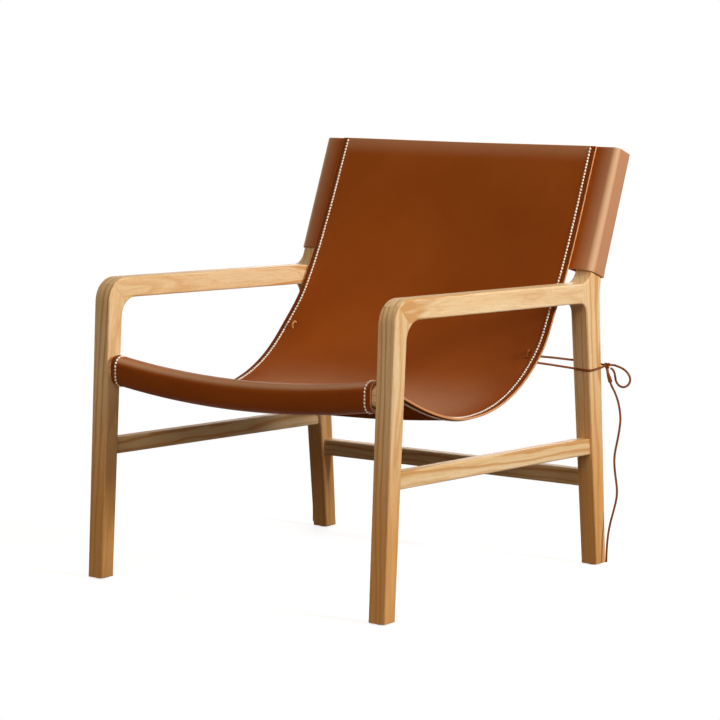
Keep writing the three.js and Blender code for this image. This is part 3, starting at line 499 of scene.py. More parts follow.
def hide_grain():
    """Seen side of the hide: clouded tone, fine pebbles, and the painted highlights and painted shade that
    its mesh carries.
    """
    shader = Shader("hide_grain")
    place = shader.place()
    mottle = shader.noise(place, *MOTTLE_NOISE)
    pebble = shader.node("ShaderNodeTexVoronoi", {
        "Vector": place, "Scale": PEBBLE_SCALE,
    }, feature="F1").outputs["Distance"]
    cloud = shader.noise(place, *CLOUD_NOISE)
    tone = shader.ramp(cloud, HIDE_TONES)
    tone = shader.blend("MIX", shader.span(mottle, *MOTTLE_SPAN), tone, HIDE_PALE)
    tone = shader.blend("MULTIPLY", shader.span(pebble, *PEBBLE_SPAN), tone, PEBBLE_DEEP)
    # The mesh's attribute paints light into the tone: above zero a painted highlight, below zero painted
    # shade
    painted_light = shader.node("ShaderNodeAttribute", attribute_name="painted_light").outputs["Fac"]
    shaded = shader.calc("MULTIPLY", painted_light, -1.0, use_clamp=True)
    tone = shader.blend("MULTIPLY", shaded, tone, PAINTED_SHADE)
    tone = shader.blend("MIX", painted_light, tone, PAINTED_HIGHLIGHT)
    height = shader.calc("ADD", pebble, shader.noise(place, *FINE_NOISE))
    return shader.finish(tone, mottle, HIDE_ROUGH, height, HIDE_BUMP, HIDE_SHEEN)


def raw_edge():
    tones = ((0.52, 0.195, 0.060), (0.68, 0.300, 0.105))
    return speckled("hide_raw_edge", (1400, 4, 0.65), tones, roughness=(0.55, 0.75), bump=(0.25, 0.0003))


def hide_flesh():
    """Back of the hide: napped and without sheen."""
    shader = Shader("hide_flesh")
    place = shader.place()
    nap = shader.noise(place, *NAP_NOISE)
    cloud = shader.noise(place, *FLESH_NOISE)
    tone = shader.ramp(cloud, FLESH_TONES)
    tone = shader.blend("MIX", shader.span(nap, *NAP_SPAN), tone, HIDE_MID)
    return shader.finish(tone, nap, FLESH_ROUGH, nap, FLESH_BUMP, FLESH_SHEEN)


def thread():
    tones = ((0.92, 0.84, 0.68), (1.0, 0.94, 0.80))
    return speckled("waxed_thread", (2300, 2), tones, roughness=(0.45, 0.6), bump=(0.3, 0.0002))


def lace_leather():
    """Dark lace, rubbed along its grain, with a painted highlight on the small loops at the holes."""
    shader = Shader("lace_leather")
    place = shader.place()
    grain = shader.noise(place, *LACE_GRAIN)
    cloud = shader.noise(place, *LACE_CLOUD)
    tone = shader.ramp(cloud, LACE_TONES)
    tone = shader.blend("MIX", shader.span(grain, *LACE_SPAN), tone, LACE_RUBBED)
    # Painted highlight on the loops, where the lace lies across the panel's front
    aside = shader.calc("ABSOLUTE", shader.node("ShaderNodeSeparateXYZ", {0: place}).outputs["X"])
    loop = shader.span(aside, LACE_LOOP_TO - LACE_LOOP_FADE, LACE_LOOP_TO, LACE_LOOP_HIGHLIGHT_SHARE, 0)
    tone = shader.blend("MIX", loop, tone, LACE_LOOP_HIGHLIGHT)
    return shader.finish(tone, grain, LACE_ROUGH, grain, LACE_BUMP, LACE_SHEEN)


# Meshes, and the places of the materials in the leather ones
CRISP_ANGLE = math.radians(50)
GRAIN, RAW, FLESH = range(3)


def add_mesh(name, points, faces, materials, indices=None):
    mesh = bpy.data.meshes.new(name)
    mesh.from_pydata([tuple(p) for p in points], [], faces)
    for material in materials:
        mesh.materials.append(material)
    if indices is not None:
        mesh.polygons.foreach_set("material_index", indices)
    mesh.polygons.foreach_set("use_smooth", [True] * len(mesh.polygons))
    mesh.update()
    obj = bpy.data.objects.new(name, mesh)
    bpy.context.scene.collection.objects.link(obj)
    return obj


def set_painted_light(obj, amounts):
    """How far each point of the leather is painted paler as a painted highlight, 0 to 1, or darker as
    painted shade, below 0.
    """
    layer = obj.data.attributes.new("painted_light", "FLOAT", "POINT")
    layer.data.foreach_set("value", amounts)


def crisp(obj):
    obj.data.set_sharp_from_angle(angle=CRISP_ANGLE)


def loft_faces(rows, ring, closed=False, flip=False):
    """Quads between rings of points; the last ring meets the first, or else both ends are capped."""
    faces = []
    for i in range(rows if closed else rows - 1):
        near, far = i * ring, (i + 1) % rows * ring
        for j in range(ring):
            k = (j + 1) % ring
            faces.append((near + j, near + k, far + k, far + j))
    if not closed:
        faces.append(tuple(reversed(range(ring))))
        faces.append(tuple(range((rows - 1) * ring, rows * ring)))
    return [face[::-1] for face in faces] if flip else faces


def strip_faces(rows, count, cut_rows=0, cut_columns=0, flip=False):
    """Faces of a strip of leather and the material of each; a ring runs over its seen face and back."""
    faces, indices = [], []
    ring = 2 * count
    for i in range(rows - 1):
        cut_end = i < cut_rows or i >= rows - cut_rows - 1
        for j in range(ring):
            k = (j + 1) % ring
            faces.append((i * ring + j, (i + 1) * ring + j, (i + 1) * ring + k, i * ring + k))
            place = j if j < count else ring - 2 - j
            cut_side = j in (count - 1, ring - 1) or not cut_columns <= place <= count - 2 - cut_columns
            indices.append(RAW if cut_side or cut_end else (GRAIN if j < count else FLESH))
    last = (rows - 1) * ring
    for j in range(count - 1):
        a, b = j, j + 1
        c, d = ring - 1 - b, ring - 1 - a
        faces.append((a, b, c, d))
        faces.append((last + b, last + a, last + d, last + c))
        indices += [RAW, RAW]
    return ([face[::-1] for face in faces] if flip else faces), indices


def tube_mesh(line, radius, sides, closed=False):
    """Points and faces of a round tube along a line of points, with capped ends where it is open."""
    line = np.asarray(line, float)
    count = len(line)
    if closed:
        ahead = np.roll(line, -1, axis=0) - np.roll(line, 1, axis=0)
    else:
        ahead = np.gradient(line, axis=0)
    ahead /= np.linalg.norm(ahead, axis=1)[:, None]
    side = np.cross(ahead[0], (0, 0, 1) if abs(ahead[0][2]) < 0.9 else (1, 0, 0))
    points = []
    for at, way, r in zip(line, ahead, np.broadcast_to(radius, count)):
        side = unit(side - way * np.dot(side, way))
        up = np.cross(way, side)
        for k in range(sides):
            a = 2 * math.pi * k / sides
            points.append(at + r * (math.cos(a) * side + math.sin(a) * up))
    return points, loft_faces(count, sides, closed)


def join_tubes(tubes):
    """Points and faces of several tubes as one mesh."""
    points, faces = [], []
    for more, sides in tubes:
        faces += [tuple(v + len(points) for v in face) for face in sides]
        points += more
    return points, faces


# Sling panel: its seen face as a line of stations in the YZ plane, from the top edge round to the flap
CURVE_STEPS = 2000
BACK_STEPS = 120
FRONT_STEPS = 56
ARC_STEPS = 14
BEND_STEPS = 10
FLAP_STEPS = 4
FLAP_EASE = 0.4
FLAP_BEND = 0.3
FLAP_FLAT = 0.4


def even_curve(a, b, c, d, steps):
    """Points at even steps of length along a cubic curve from a to d, pulled towards b and c."""
    t = np.linspace(0, 1, CURVE_STEPS + 1)[:, None]
    dense = (1 - t) ** 3 * a + 3 * (1 - t) ** 2 * t * b + 3 * (1 - t) * t ** 2 * c + t ** 3 * d
    along = np.concatenate([[0], np.cumsum(np.linalg.norm(np.diff(dense, axis=0), axis=1))])
    wanted = np.linspace(0, along[-1], steps + 1)
    return np.stack([np.interp(wanted, along, dense[:, k]) for k in (0, 1)], axis=1)


class Panel:
    """Stations along the panel: place, half width and sag, with the sag's power, reach and turn down."""

    VALUES = ("line", "half", "sag", "power", "reach", "down")

    def __init__(self):
        for name in self.VALUES:
            setattr(self, name, [])
        self.back_count = BACK_STEPS + 1
        rail_y = (front_leg_front(RAIL_Z) + front_leg_back(RAIL_Z)) / 2
        rail = np.array([rail_y, RAIL_Z])
        corner = np.array([RAIL_DEEP / 2 - RAIL_R, RAIL_TALL / 2 - RAIL_R])
        roll_r = RAIL_R + LEATHER + ROLL_CLEAR
        slope = unit((1, -RAIL_SLOPE))
        tangent = rail + corner + roll_r * unit((RAIL_SLOPE, 1))
        self.hang(tangent, slope)
        self.wrap(rail, corner, roll_r, tangent, slope)
        for name in self.VALUES:
            setattr(self, name, np.concatenate(getattr(self, name)))
        step = np.linalg.norm(np.diff(self.line, axis=0), axis=1)
        self.run = np.concatenate([[0], np.cumsum(step)])
        ahead = np.gradient(self.line, self.run, axis=0)
        self.ahead = ahead / np.linalg.norm(ahead, axis=1)[:, None]
        self.inward = np.stack([-self.ahead[:, 1], self.ahead[:, 0]], axis=1)
        lie = mix(self.inward, np.array([0.0, -1.0]), self.down[:, None])
        self.lie = lie / np.linalg.norm(lie, axis=1)[:, None]
        self.length = self.run[-1]
        self.area = float(np.sum((self.half[1:] + self.half[:-1]) * np.diff(self.run)))

    def add(self, points, half=half_front, sag=RAIL_DISH, power=1.0, reach=1.0, down=1.0):
        """More stations, on the roll unless told otherwise; a value is one for all of them, or a list."""
        self.line.append(points)
        for name, value in zip(self.VALUES[1:], (half, sag, power, reach, down)):
            getattr(self, name).append(np.broadcast_to(value, len(points)))

    def hang(self, tangent, slope):
        """Back and seat, from the top edge over the seat's lowest point up to the rail."""
        top = post_at(POST_LENGTH + PANEL_TOP_RISE, POST_DEPTH + FIT + LEATHER + TUCK_CLEAR + LEATHER)
        low = np.array(SEAT_LOW)
        pull = BACK_PULL * unit((-1, -BACK_SLOPE))
        back = even_curve(top, top + pull, low + (SEAT_PULL, 0), low, BACK_STEPS)
        rise = even_curve(low, low - (FRONT_PULL, 0), tangent + RAIL_PULL * slope, tangent, FRONT_STEPS)
        t = np.linspace(0, 1, BACK_STEPS + 1)
        f = np.linspace(0, 1, FRONT_STEPS + 1)[1:]
        under_arm = arm_bottom(rear_leg_front(KNEE_Z)) - LEATHER
        past = np.clip((under_arm - back[:, 1]) / (top[1] - under_arm), -1, 0) + 1
        below = ease((under_arm - back[:, 1]) / SEAT_WIDEN)
        half = mix(mix(half_top, half_arm, past), half_seat, below)
        sag = mix(SAG_TOP, mix(SAG_BACK, SAG_SEAT, t), ease(t / SAG_GROW))
        self.add(back, half, sag, mix(2, 1, ease(t)), mix(BACK_REACH, 1, ease(t)), 0.0)
        half = mix(half_seat, half_front, ease(f / FRONT_NARROW))
        self.add(rise[1:], half, mix(SAG_SEAT, RAIL_DISH, f), down=ease(f))

    def wrap(self, rail, corner, roll_r, tangent, slope):
        """Round the rail, up behind it and flat under the seat."""
        def arc(sign_y, sign_z, start, stop):
            angle = np.linspace(start, stop, ARC_STEPS + 1)
            centre = rail + corner * (sign_y, sign_z)
            self.add(centre + roll_r * np.stack([np.cos(angle), np.sin(angle)], axis=1))

        quarter = math.pi / 2
        arc(1, 1, math.atan2(1, RAIL_SLOPE) + quarter / ARC_STEPS, quarter)
        arc(-1, 1, quarter, 2 * quarter)
        arc(-1, -1, 2 * quarter, 3 * quarter)
        underside = np.array([slope[1], -slope[0]])
        flap = tangent + FLAP_BEHIND * slope + (2 * LEATHER + FIT) * underside
        gap = flap - (rail + corner * (1, -1))
        leave = math.atan2(gap[1], gap[0]) - math.acos(roll_r / np.linalg.norm(gap))
        arc(1, -1, 3 * quarter, 4 * quarter + leave)
        last = self.line[-1][-1]
        turned = flap + FLAP_BEND * FLAP_LONG * slope
        self.add(even_curve(last, flap - FLAP_EASE * (flap - last), flap, turned, BEND_STEPS)[1:])
        self.add(flap + np.linspace(FLAP_FLAT, 1, FLAP_STEPS)[:, None] * FLAP_LONG * slope)

    def at(self, run, name):
        """One of the panel's values at a distance along it."""
        values = getattr(self, name)
        if values.ndim == 1:
            return float(np.interp(run, self.run, values))
        return np.array([np.interp(run, self.run, column) for column in values.T])

    def point(self, run, x, deep):
        """A point at a distance along the panel, a place across it and a depth below its seen face."""
        q = min(1.0, abs(x) / (self.at(run, "half") * self.at(run, "reach")))
        sink = self.at(run, "sag") * (1 - q * q) ** self.at(run, "power")
        p = self.at(run, "line") + deep * unit(self.at(run, "inward")) + sink * unit(self.at(run, "lie"))
        return np.array([x, p[0] + shift_y, p[1]])

    def out(self, run):
        inward = unit(self.at(run, "inward"))
        return np.array([0, -inward[0], -inward[1]])

    def run_at_height(self, z):
        """Distance along the back at which its side edge passes a height."""
        heights = self.line[:self.back_count, 1]
        return float(np.interp(-z, -heights, self.run[:self.back_count]))


# Points across the panel, measured in from the side edge, then even columns between. A cut edge is
# rounded by points of inset and depth, and its outer columns show the raw leather
GROOVE_COLUMNS = (-0.0020, -0.0012, -0.0006, 0.0, 0.0006, 0.0012, 0.0020)
EDGE_COLUMNS = (0.0030, 0.0060, 0.0085, *(STITCH_IN + k for k in GROOVE_COLUMNS), 0.016, 0.020)
COLUMN_GAP = 0.004
MIDDLE_COLUMNS = 56
HOLE_SIDES = 24
PUNCH_REACH = 2.5
CUT_STEPS = 4
CUT_ROUND = [(CUT_R * (1 - math.cos(a)), CUT_R * (1 - math.sin(a)))
             for a in np.linspace(0, math.pi / 2, CUT_STEPS + 1)]
RAW_COLUMNS = 4

# Slight unevenness of the hide. A run is where along the panel a thing starts and over what length it
# grows, and where it ends and over what length it fades
RIPPLE = 0.0009
RIPPLE_RUN = (0.22, 0.12, 0.93, 0.15)
RIPPLE_WAVES = ((1.0, 5.0, 4.0, 3.7), (0.4, 13.0, 9.0, 8.1))

# Painted light: how far the leather is painted paler, as painted highlights, or darker, as painted shade,
# and where
TOP_HIGHLIGHT = 0.32
TOP_HIGHLIGHT_DEEP = 0.035
SEAT_HIGHLIGHT = 0.42
SEAT_RUN = (0.44, 0.15, 0.97, 0.06)
EDGE_SHADE = 0.60
EDGE_SHADE_SHORT = 0.001
ROLL_FROM = 0.1
ROLL_TURN = math.radians(162)
ROLL_HIGHLIGHT = 0.58
ROLL_HIGHLIGHT_LEAN = math.radians(42)
ROLL_HIGHLIGHT_WIDE = math.radians(26)
ROLL_SHADE = 0.62
ROLL_SHADE_WIDE = math.radians(62)


def panel_profile():
    """Columns from left to right: side or 0, inset from that edge, share across from the middle, depth."""
    edge = [(0.0, LEATHER / 2), *CUT_ROUND]
    for inset in EDGE_COLUMNS:
        groove = GROOVE_DEEP * max(0.0, 1 - ((inset - STITCH_IN) / GROOVE_HALF) ** 2)
        edge.append((inset, groove))
    left = [(-1, inset, None, deep) for inset, deep in edge]
    middle = [(0, None, 2 * k / MIDDLE_COLUMNS - 1, 0.0) for k in range(MIDDLE_COLUMNS + 1)]
    right = [(1, inset, None, deep) for _, inset, _, deep in reversed(left)]
    return left + middle + right


def panel_rows(panel):
    """Rows along the panel: station, step past it, share of the thickness; the cut ends are rounded."""
    pinch = [(inset, 1 - deep / (LEATHER / 2)) for inset, deep in CUT_ROUND]
    last = len(panel.line) - 1
    rows = [(0, inset, share) for inset, share in pinch]
    rows += [(i, 0, 1) for i in range(1, last)]
    rows += [(last, -inset, share) for inset, share in reversed(pinch)]
    return rows


def panel_painted_light(panel, i, column):
    """Painted highlights along the top edge, on the seat and over the roll's top; painted shade outside the
    stitches and down the roll's front.
    """
    sign, from_edge, across, _ = column
    run = panel.run[i]
    # Painted shade on the strip between the stitches and the cut edge
    if sign and from_edge < STITCH_IN - EDGE_SHADE_SHORT:
        return -EDGE_SHADE
    # Painted highlights: along the top edge, over the middle of the seat, and along the roll's top
    top = TOP_HIGHLIGHT * ease(1 - run / TOP_HIGHLIGHT_DEEP)
    middle = 0.0 if sign else 1 - across ** 4
    seat = SEAT_HIGHLIGHT * middle * between(run, *SEAT_RUN)
    lean = math.atan2(panel.inward[i][0], -panel.inward[i][1])
    if run > panel.run[panel.back_count] + ROLL_FROM and abs(lean) < ROLL_TURN:
        roll = ROLL_HIGHLIGHT * math.exp(-((lean - ROLL_HIGHLIGHT_LEAN) / ROLL_HIGHLIGHT_WIDE) ** 2)
        # Painted shade that grows as the roll turns forward and under
        return max(top, seat, roll) - ROLL_SHADE * ease((lean - ROLL_HIGHLIGHT_LEAN) / ROLL_SHADE_WIDE)
    return max(top, seat)


def hide_wave(x, run):
    """Sum of noises, each with its share, its scales across and along the hide, and its seed."""
    return sum(share * noise.noise((x * across, run * along, seed))
               for share, across, along, seed in RIPPLE_WAVES)


def panel_points(panel, rows, profile):
    """A closed ring of points for each row: over the seen face, and back over the hidden one."""
    inner_edge = EDGE_COLUMNS[-1] + COLUMN_GAP
    points = []
    for i, inset, share in rows:
        half = panel.half[i]
        run = panel.run[i]
        start = panel.line[i] + inset * panel.ahead[i]
        settled = between(run, *RIPPLE_RUN)
        for hidden in (False, True):
            ring = []
            for sign, from_edge, across, deep in profile:
                x = sign * (half - from_edge) if sign else across * (half - inner_edge)
                q = min(1.0, abs(x) / (half * panel.reach[i]))
                deep = LEATHER - deep if hidden else deep
                deep = LEATHER / 2 + (deep - LEATHER / 2) * share
                deep += RIPPLE * settled * hide_wave(x, run)
                sink = panel.sag[i] * (1 - q * q) ** panel.power[i]
                p = start + deep * panel.inward[i] + sink * panel.lie[i]
                ring.append((x, p[0] + shift_y, p[1]))
            points.extend(reversed(ring) if hidden else ring)
    return points


def build_panel(panel, materials):
    """Closed leather panel with rounded cut edges, lofted along the stations."""
    profile = panel_profile()
    rows = panel_rows(panel)
    faces, indices = strip_faces(len(rows), len(profile), CUT_STEPS, RAW_COLUMNS)
    obj = add_mesh("sling_leather", panel_points(panel, rows, profile), faces, materials, indices)
    columns = (*profile, *reversed(profile))
    set_painted_light(obj, [panel_painted_light(panel, i, column) for i, _, _ in rows for column in columns])
    return obj


def hole_frames(panel, s):
    """Middle and outward direction of the two lace holes on one side."""
    middle = panel.run_at_height(LACE_HOLE_Z[s])
    frames = []
    for k in (-0.5, 0.5):
        run = middle + k * LACE_HOLE_GAP
        x = s * (panel.at(run, "half") - LACE_HOLE_IN[s])
        frames.append((panel.point(run, x, 0), panel.out(run)))
    return frames


def punch(obj, frames, material):
    """Cuts the lace holes through the panel."""
    reach = PUNCH_REACH * LEATHER
    tubes = [tube_mesh([at + reach * out, at - reach * out], LACE_HOLE_D / 2, HOLE_SIDES)
             for at, out in frames]
    cutter = add_mesh("punch", *join_tubes(tubes), [material])
    cut = obj.modifiers.new("holes", "BOOLEAN")
    cut.operation = "DIFFERENCE"
    cut.solver = "EXACT"
    cut.material_mode = "TRANSFER"
    cut.object = cutter
    graph = bpy.context.evaluated_depsgraph_get()
    mesh = bpy.data.meshes.new_from_object(obj.evaluated_get(graph))
    obj.modifiers.remove(cut)
    obj.data = mesh
    bpy.data.objects.remove(cutter)


# Stitching: short threads that rise out of one hole and dive into the next
STITCH_SIDES = 6
STITCH_START = 0.006
STITCH_RISE = 0.00055
STITCH_DIVE = 0.0009
STITCH_SLANT = 0.0004
STITCH_TAPER = np.array([0.6, 0.9, 1, 1, 1, 0.9, 0.6])


def stitch_points(panel, s, run, deep, outward):
    """Middle line of one thread at a distance along the panel."""
    line = []
    half = panel.at(run, "half")
    for k in np.linspace(-1, 1, len(STITCH_TAPER)):
        rise = outward * (STITCH_RISE * (1 - k * k) - STITCH_DIVE * abs(k) ** 6)
        x = s * (half - STITCH_IN + STITCH_SLANT * k)
        line.append(panel.point(run + k * STITCH_LONG / 2, x, deep - rise))
    return line


def build_stitching(panel, side, s, sleeve_end, material):
    tubes = []
    count = int((panel.length - 2 * STITCH_START) / STITCH_PITCH)
    under_sleeve = 3 * LEATHER + TUCK_CLEAR + FIT
    for i in range(count):
        run = STITCH_START + i * STITCH_PITCH
        back = under_sleeve if run < sleeve_end else LEATHER
        for deep, outward in ((GROOVE_DEEP, 1), (back, -1)):
            line = stitch_points(panel, s, run, deep, outward)
            tubes.append(tube_mesh(line, STITCH_R * STITCH_TAPER, STITCH_SIDES))
    return add_mesh(f"stitching_{side}", *join_tubes(tubes), [material])


# Sleeves
SLEEVE_ROWS = 40
# Painted highlight on the sleeve's seen front corner and painted sheen on its side, as shares of the paler
# tone
SLEEVE_HIGHLIGHT = 1.0
SLEEVE_SIDE_SHEEN = 0.44
SLEEVE_FACE_HIGHLIGHT = 0.03
SLEEVE_HIGHLIGHT_LEAD = 0.12
EASE_STEPS = 8
CUT_BEVEL = 0.0007
CUT_BEVEL_STEPS = 2
CUT_BEVEL_ANGLE = math.radians(60)

# Section of the cap in a sleeve's top, as inset and rise, and its room in the sleeve
CAP_RISE = ((0.0, 0.0), (0.0, 0.0026), (0.0006, 0.0034), (0.0018, 0.0037), (0.006, 0.0040), (0.012, 0.0043))
CAP_CLEAR = 0.0002
CAP_LEAST_R = 0.001
CAP_CORNER_STEPS = 6


def eased_line(corners):
    """Open line whose inner corners are eased over a given length each side."""
    out = []
    for i, (p, cut) in enumerate(corners):
        p = np.array(p, float)
        if i in (0, len(corners) - 1):
            out.append(p)
            continue
        before = p + cut * unit(np.array(corners[i - 1][0]) - p)
        after = p + cut * unit(np.array(corners[i + 1][0]) - p)
        for t in np.linspace(0, 1, EASE_STEPS + 1):
            out.append((1 - t) ** 2 * before + 2 * t * (1 - t) * p + t * t * after)
    return np.array(out)


def panel_stand(panel, along):
    """How far the panel's hidden face stands before the post's front face, at a place along the post."""
    count = panel.back_count
    hidden = panel.line[:count] + LEATHER * panel.inward[:count] - knee
    down = (panel.line[:count] - knee) @ post_up
    return float(np.interp(-along, -down, hidden @ post_fore)) - POST_DEPTH


def knee_swell(along):
    """How far the rounding at the knee stands behind the line of the post's back face."""
    into = max(0.0, KNEE_R * math.tan((POST_LEAN + math.atan(REAR_LEAN)) / 2) - along)
    return KNEE_R - math.sqrt(KNEE_R ** 2 - into ** 2)


def sleeve_line(panel, along, out=0.0):
    """Strip round the post, pushed out from its middle line; the seen front corner is the roundest."""
    mid = FIT + LEATHER / 2
    least = mid + LEATHER / 2 + TUCK_CLEAR
    stand = max(panel_stand(panel, min(along, POST_LENGTH)), least) - TUCK_CLEAR - LEATHER / 2
    behind = stand - LEATHER - FIT
    r = EDGE_R + mid + out
    rear = -POST_DEPTH - mid - knee_swell(along) - out
    outside = outer_x + mid + out
    inside = inner_x - mid - out
    front = r + SLEEVE_SOFT * max(0.0, out) / (LEATHER / 2)
    return eased_line([
        ((half_top - SLEEVE_TUCK, stand + out), 0),
        ((half_top + SLEEVE_TURN, stand + out), SLEEVE_TURN),
        ((outside, mid + out), front),
        ((outside, rear), r),
        ((inside, rear), r),
        ((inside, min(behind, -mid) - SLEEVE_BACK_DROP - out), SLEEVE_EASE),
        ((half_top - SLEEVE_BACK_IN, behind - out), SLEEVE_EASE),
        ((half_top - SLEEVE_TUCK, behind - out), 0),
    ])


def on_post(s, x, along, fore):
    p = post_at(along, POST_DEPTH + fore)
    return (s * x, p[0] + shift_y, p[1])


def build_sleeve(panel, side, s, materials):
    top = POST_LENGTH + FIT + LEATHER
    points = []
    for i in range(SLEEVE_ROWS + 1):
        along = top - SLEEVE_LONG[s] * i / SLEEVE_ROWS
        seen = sleeve_line(panel, along, LEATHER / 2)
        hidden = sleeve_line(panel, along, -LEATHER / 2)
        points += [on_post(s, x, along, fore) for x, fore in (*seen, *hidden[::-1])]
    faces, indices = strip_faces(SLEEVE_ROWS + 1, len(seen), flip=s < 0)
    obj = add_mesh(f"sleeve_{side}", points, faces, materials, indices)
    # Painted light across the strip: a painted highlight strongest on the rounding of the seen front
    # corner, and a painted sheen fading along the side
    first = EASE_STEPS + 2
    across = np.zeros(2 * len(seen))
    for k in range(EASE_STEPS + 1):
        t = k / EASE_STEPS
        peak = math.sin(math.pi * mix(SLEEVE_HIGHLIGHT_LEAD, 1, t))
        across[first + k] = max(SLEEVE_HIGHLIGHT * peak, SLEEVE_SIDE_SHEEN * ease(2 * t - 1), SLEEVE_FACE_HIGHLIGHT)
        across[first + EASE_STEPS + 1 + k] = SLEEVE_SIDE_SHEEN * (1 - t)
    set_painted_light(obj, np.tile(across, SLEEVE_ROWS + 1))
    bevel = obj.modifiers.new("cut_edges", "BEVEL")
    bevel.width = CUT_BEVEL
    bevel.segments = CUT_BEVEL_STEPS
    bevel.limit_method = "ANGLE"
    bevel.angle_limit = CUT_BEVEL_ANGLE
    return obj


def rounded_rectangle(wide, tall, r, steps):
    out = []
    for k, (sx, sy) in enumerate(((1, 1), (-1, 1), (-1, -1), (1, -1))):
        for a in np.linspace(k * math.pi / 2, (k + 1) * math.pi / 2, steps + 1):
            out.append((sx * (wide / 2 - r) + r * math.cos(a), sy * (tall / 2 - r) + r * math.sin(a)))
    return out


def build_cap(side, s, material):
    """Leather plate that closes the sleeve's top, inside its upper edge."""
    middle = (outer_x + inner_x) / 2
    points = []
    for inset, up in CAP_RISE:
        grow = 2 * (FIT - CAP_CLEAR - inset)
        along = POST_LENGTH + FIT + CAP_CLEAR + up
        r = max(EDGE_R - inset, CAP_LEAST_R)
        outline = rounded_rectangle(FRAME_THICK + grow, POST_DEPTH + grow, r, CAP_CORNER_STEPS)
        points += [on_post(s, middle + x, along, y - POST_DEPTH / 2) for x, y in outline]
    faces = loft_faces(len(CAP_RISE), len(outline), flip=s > 0)
    obj = add_mesh(f"sleeve_cap_{side}", points, faces, [material])
    crisp(obj)
    return obj


# Laces: the same listed points as the CAD solids
BOW_ROUTE = (
    (0.0059, 0.0012), (0.012, 0.0008), (0.0195, -0.0016), (0.028, -0.0054), (0.035, -0.0112),
    (0.040, -0.0185), (0.0416, -0.0265), (0.038, -0.0348), (0.030, -0.0388), (0.0216, -0.0356),
    (0.0166, -0.0284), (0.0148, -0.0204), (0.0134, -0.0134), (0.0104, -0.0076), (0.0062, -0.0042),
)
TAIL_ROUTE = (
    (0.0022, 0.039), (0.0042, 0.067), (0.0084, 0.101), (0.014, 0.132), (0.019, 0.168), (0.023, 0.213),
    (0.0252, 0.269), (0.024, 0.316), (0.0205, 0.378), (0.0168, 0.434), (0.0154, 0.476), (0.0166, 0.532),
    (0.0194, 0.59), (0.021, 0.632), (0.020, 0.678), (0.0154, 0.737), (0.0098, 0.801), (0.0063, 0.86),
    (0.0042, 0.93), (0.0037, 1),
)
SPAN_STEPS = 6
LACE_ROUND_STEPS = 3

# Direction, out from the leg's corner, of the upright plane that bow, tail and knot lie in
OUT_X = 0.8
OUT_Y = 0.6

# Knot and flat end
KNOT_STEPS = 96
KNOT_SIDES = 12
KNOT_LOBE = 0.0016
KNOT_DEEP = 0.0021
KNOT_LACE_R = 0.00188
END_ROWS = 13
END_TOP = 0.0038
END_LONG = 0.0258
END_WIDE = (0.0036, 0.0072)
END_FLARE = 1.3
END_OUT = (-0.0016, 0.0061)
END_THICK = 0.0020
END_R = 0.0009
END_CORNER_STEPS = 3
END_BOW = 0.0010
END_SLANT = 0.0013
lace_off = LACE_D / 2 + LACE_OFF


def knot_at(s):
    return np.array([s * (outer_x + KNOT_OUT), rear_leg_back(KNOT_Z) + KNOT_BACK + shift_y, KNOT_Z])


def spread(s, out, rise, into=0.0):
    """Point measured from the knot: out along the laces' plane, up, and forward of the plane."""
    return knot_at(s) + (s * (OUT_X * out + OUT_Y * into), OUT_Y * out - OUT_X * into, rise)


def smooth_route(points, per_span):
    """Smooth line through all the points, with the same number of steps in each gap."""
    p = [np.asarray(v, float) for v in points]
    p = [2 * p[0] - p[1]] + p + [2 * p[-1] - p[-2]]
    out = []
    for i in range(1, len(p) - 2):
        a, b, c, d = p[i - 1:i + 3]
        u, v, w = (math.sqrt(np.linalg.norm(y - x)) for x, y in ((a, b), (b, c), (c, d)))
        m = ((b - a) / u - (c - a) / (u + v) + (c - b) / v) * v
        n = ((c - b) / v - (d - b) / (v + w) + (d - c) / w) * v
        for t in np.arange(per_span) / per_span:
            out.append((2 * t ** 3 - 3 * t * t + 1) * b + (t ** 3 - 2 * t * t + t) * m
                       + (3 * t * t - 2 * t ** 3) * c + (t ** 3 - t * t) * n)
    out.append(p[-2])
    return np.array(out)


def lace_curve(name, points, material):
    line = smooth_route(points, SPAN_STEPS)
    curve = bpy.data.curves.new(name, "CURVE")
    curve.dimensions = "3D"
    spline = curve.splines.new("POLY")
    spline.points.add(len(line) - 1)
    for point, at in zip(spline.points, line):
        point.co = (*at, 1)
    curve.bevel_depth = LACE_D / 2
    curve.bevel_resolution = LACE_ROUND_STEPS
    curve.use_fill_caps = True
    curve.materials.append(material)
    obj = bpy.data.objects.new(name, curve)
    bpy.context.scene.collection.objects.link(obj)
    return obj, line_length(line)


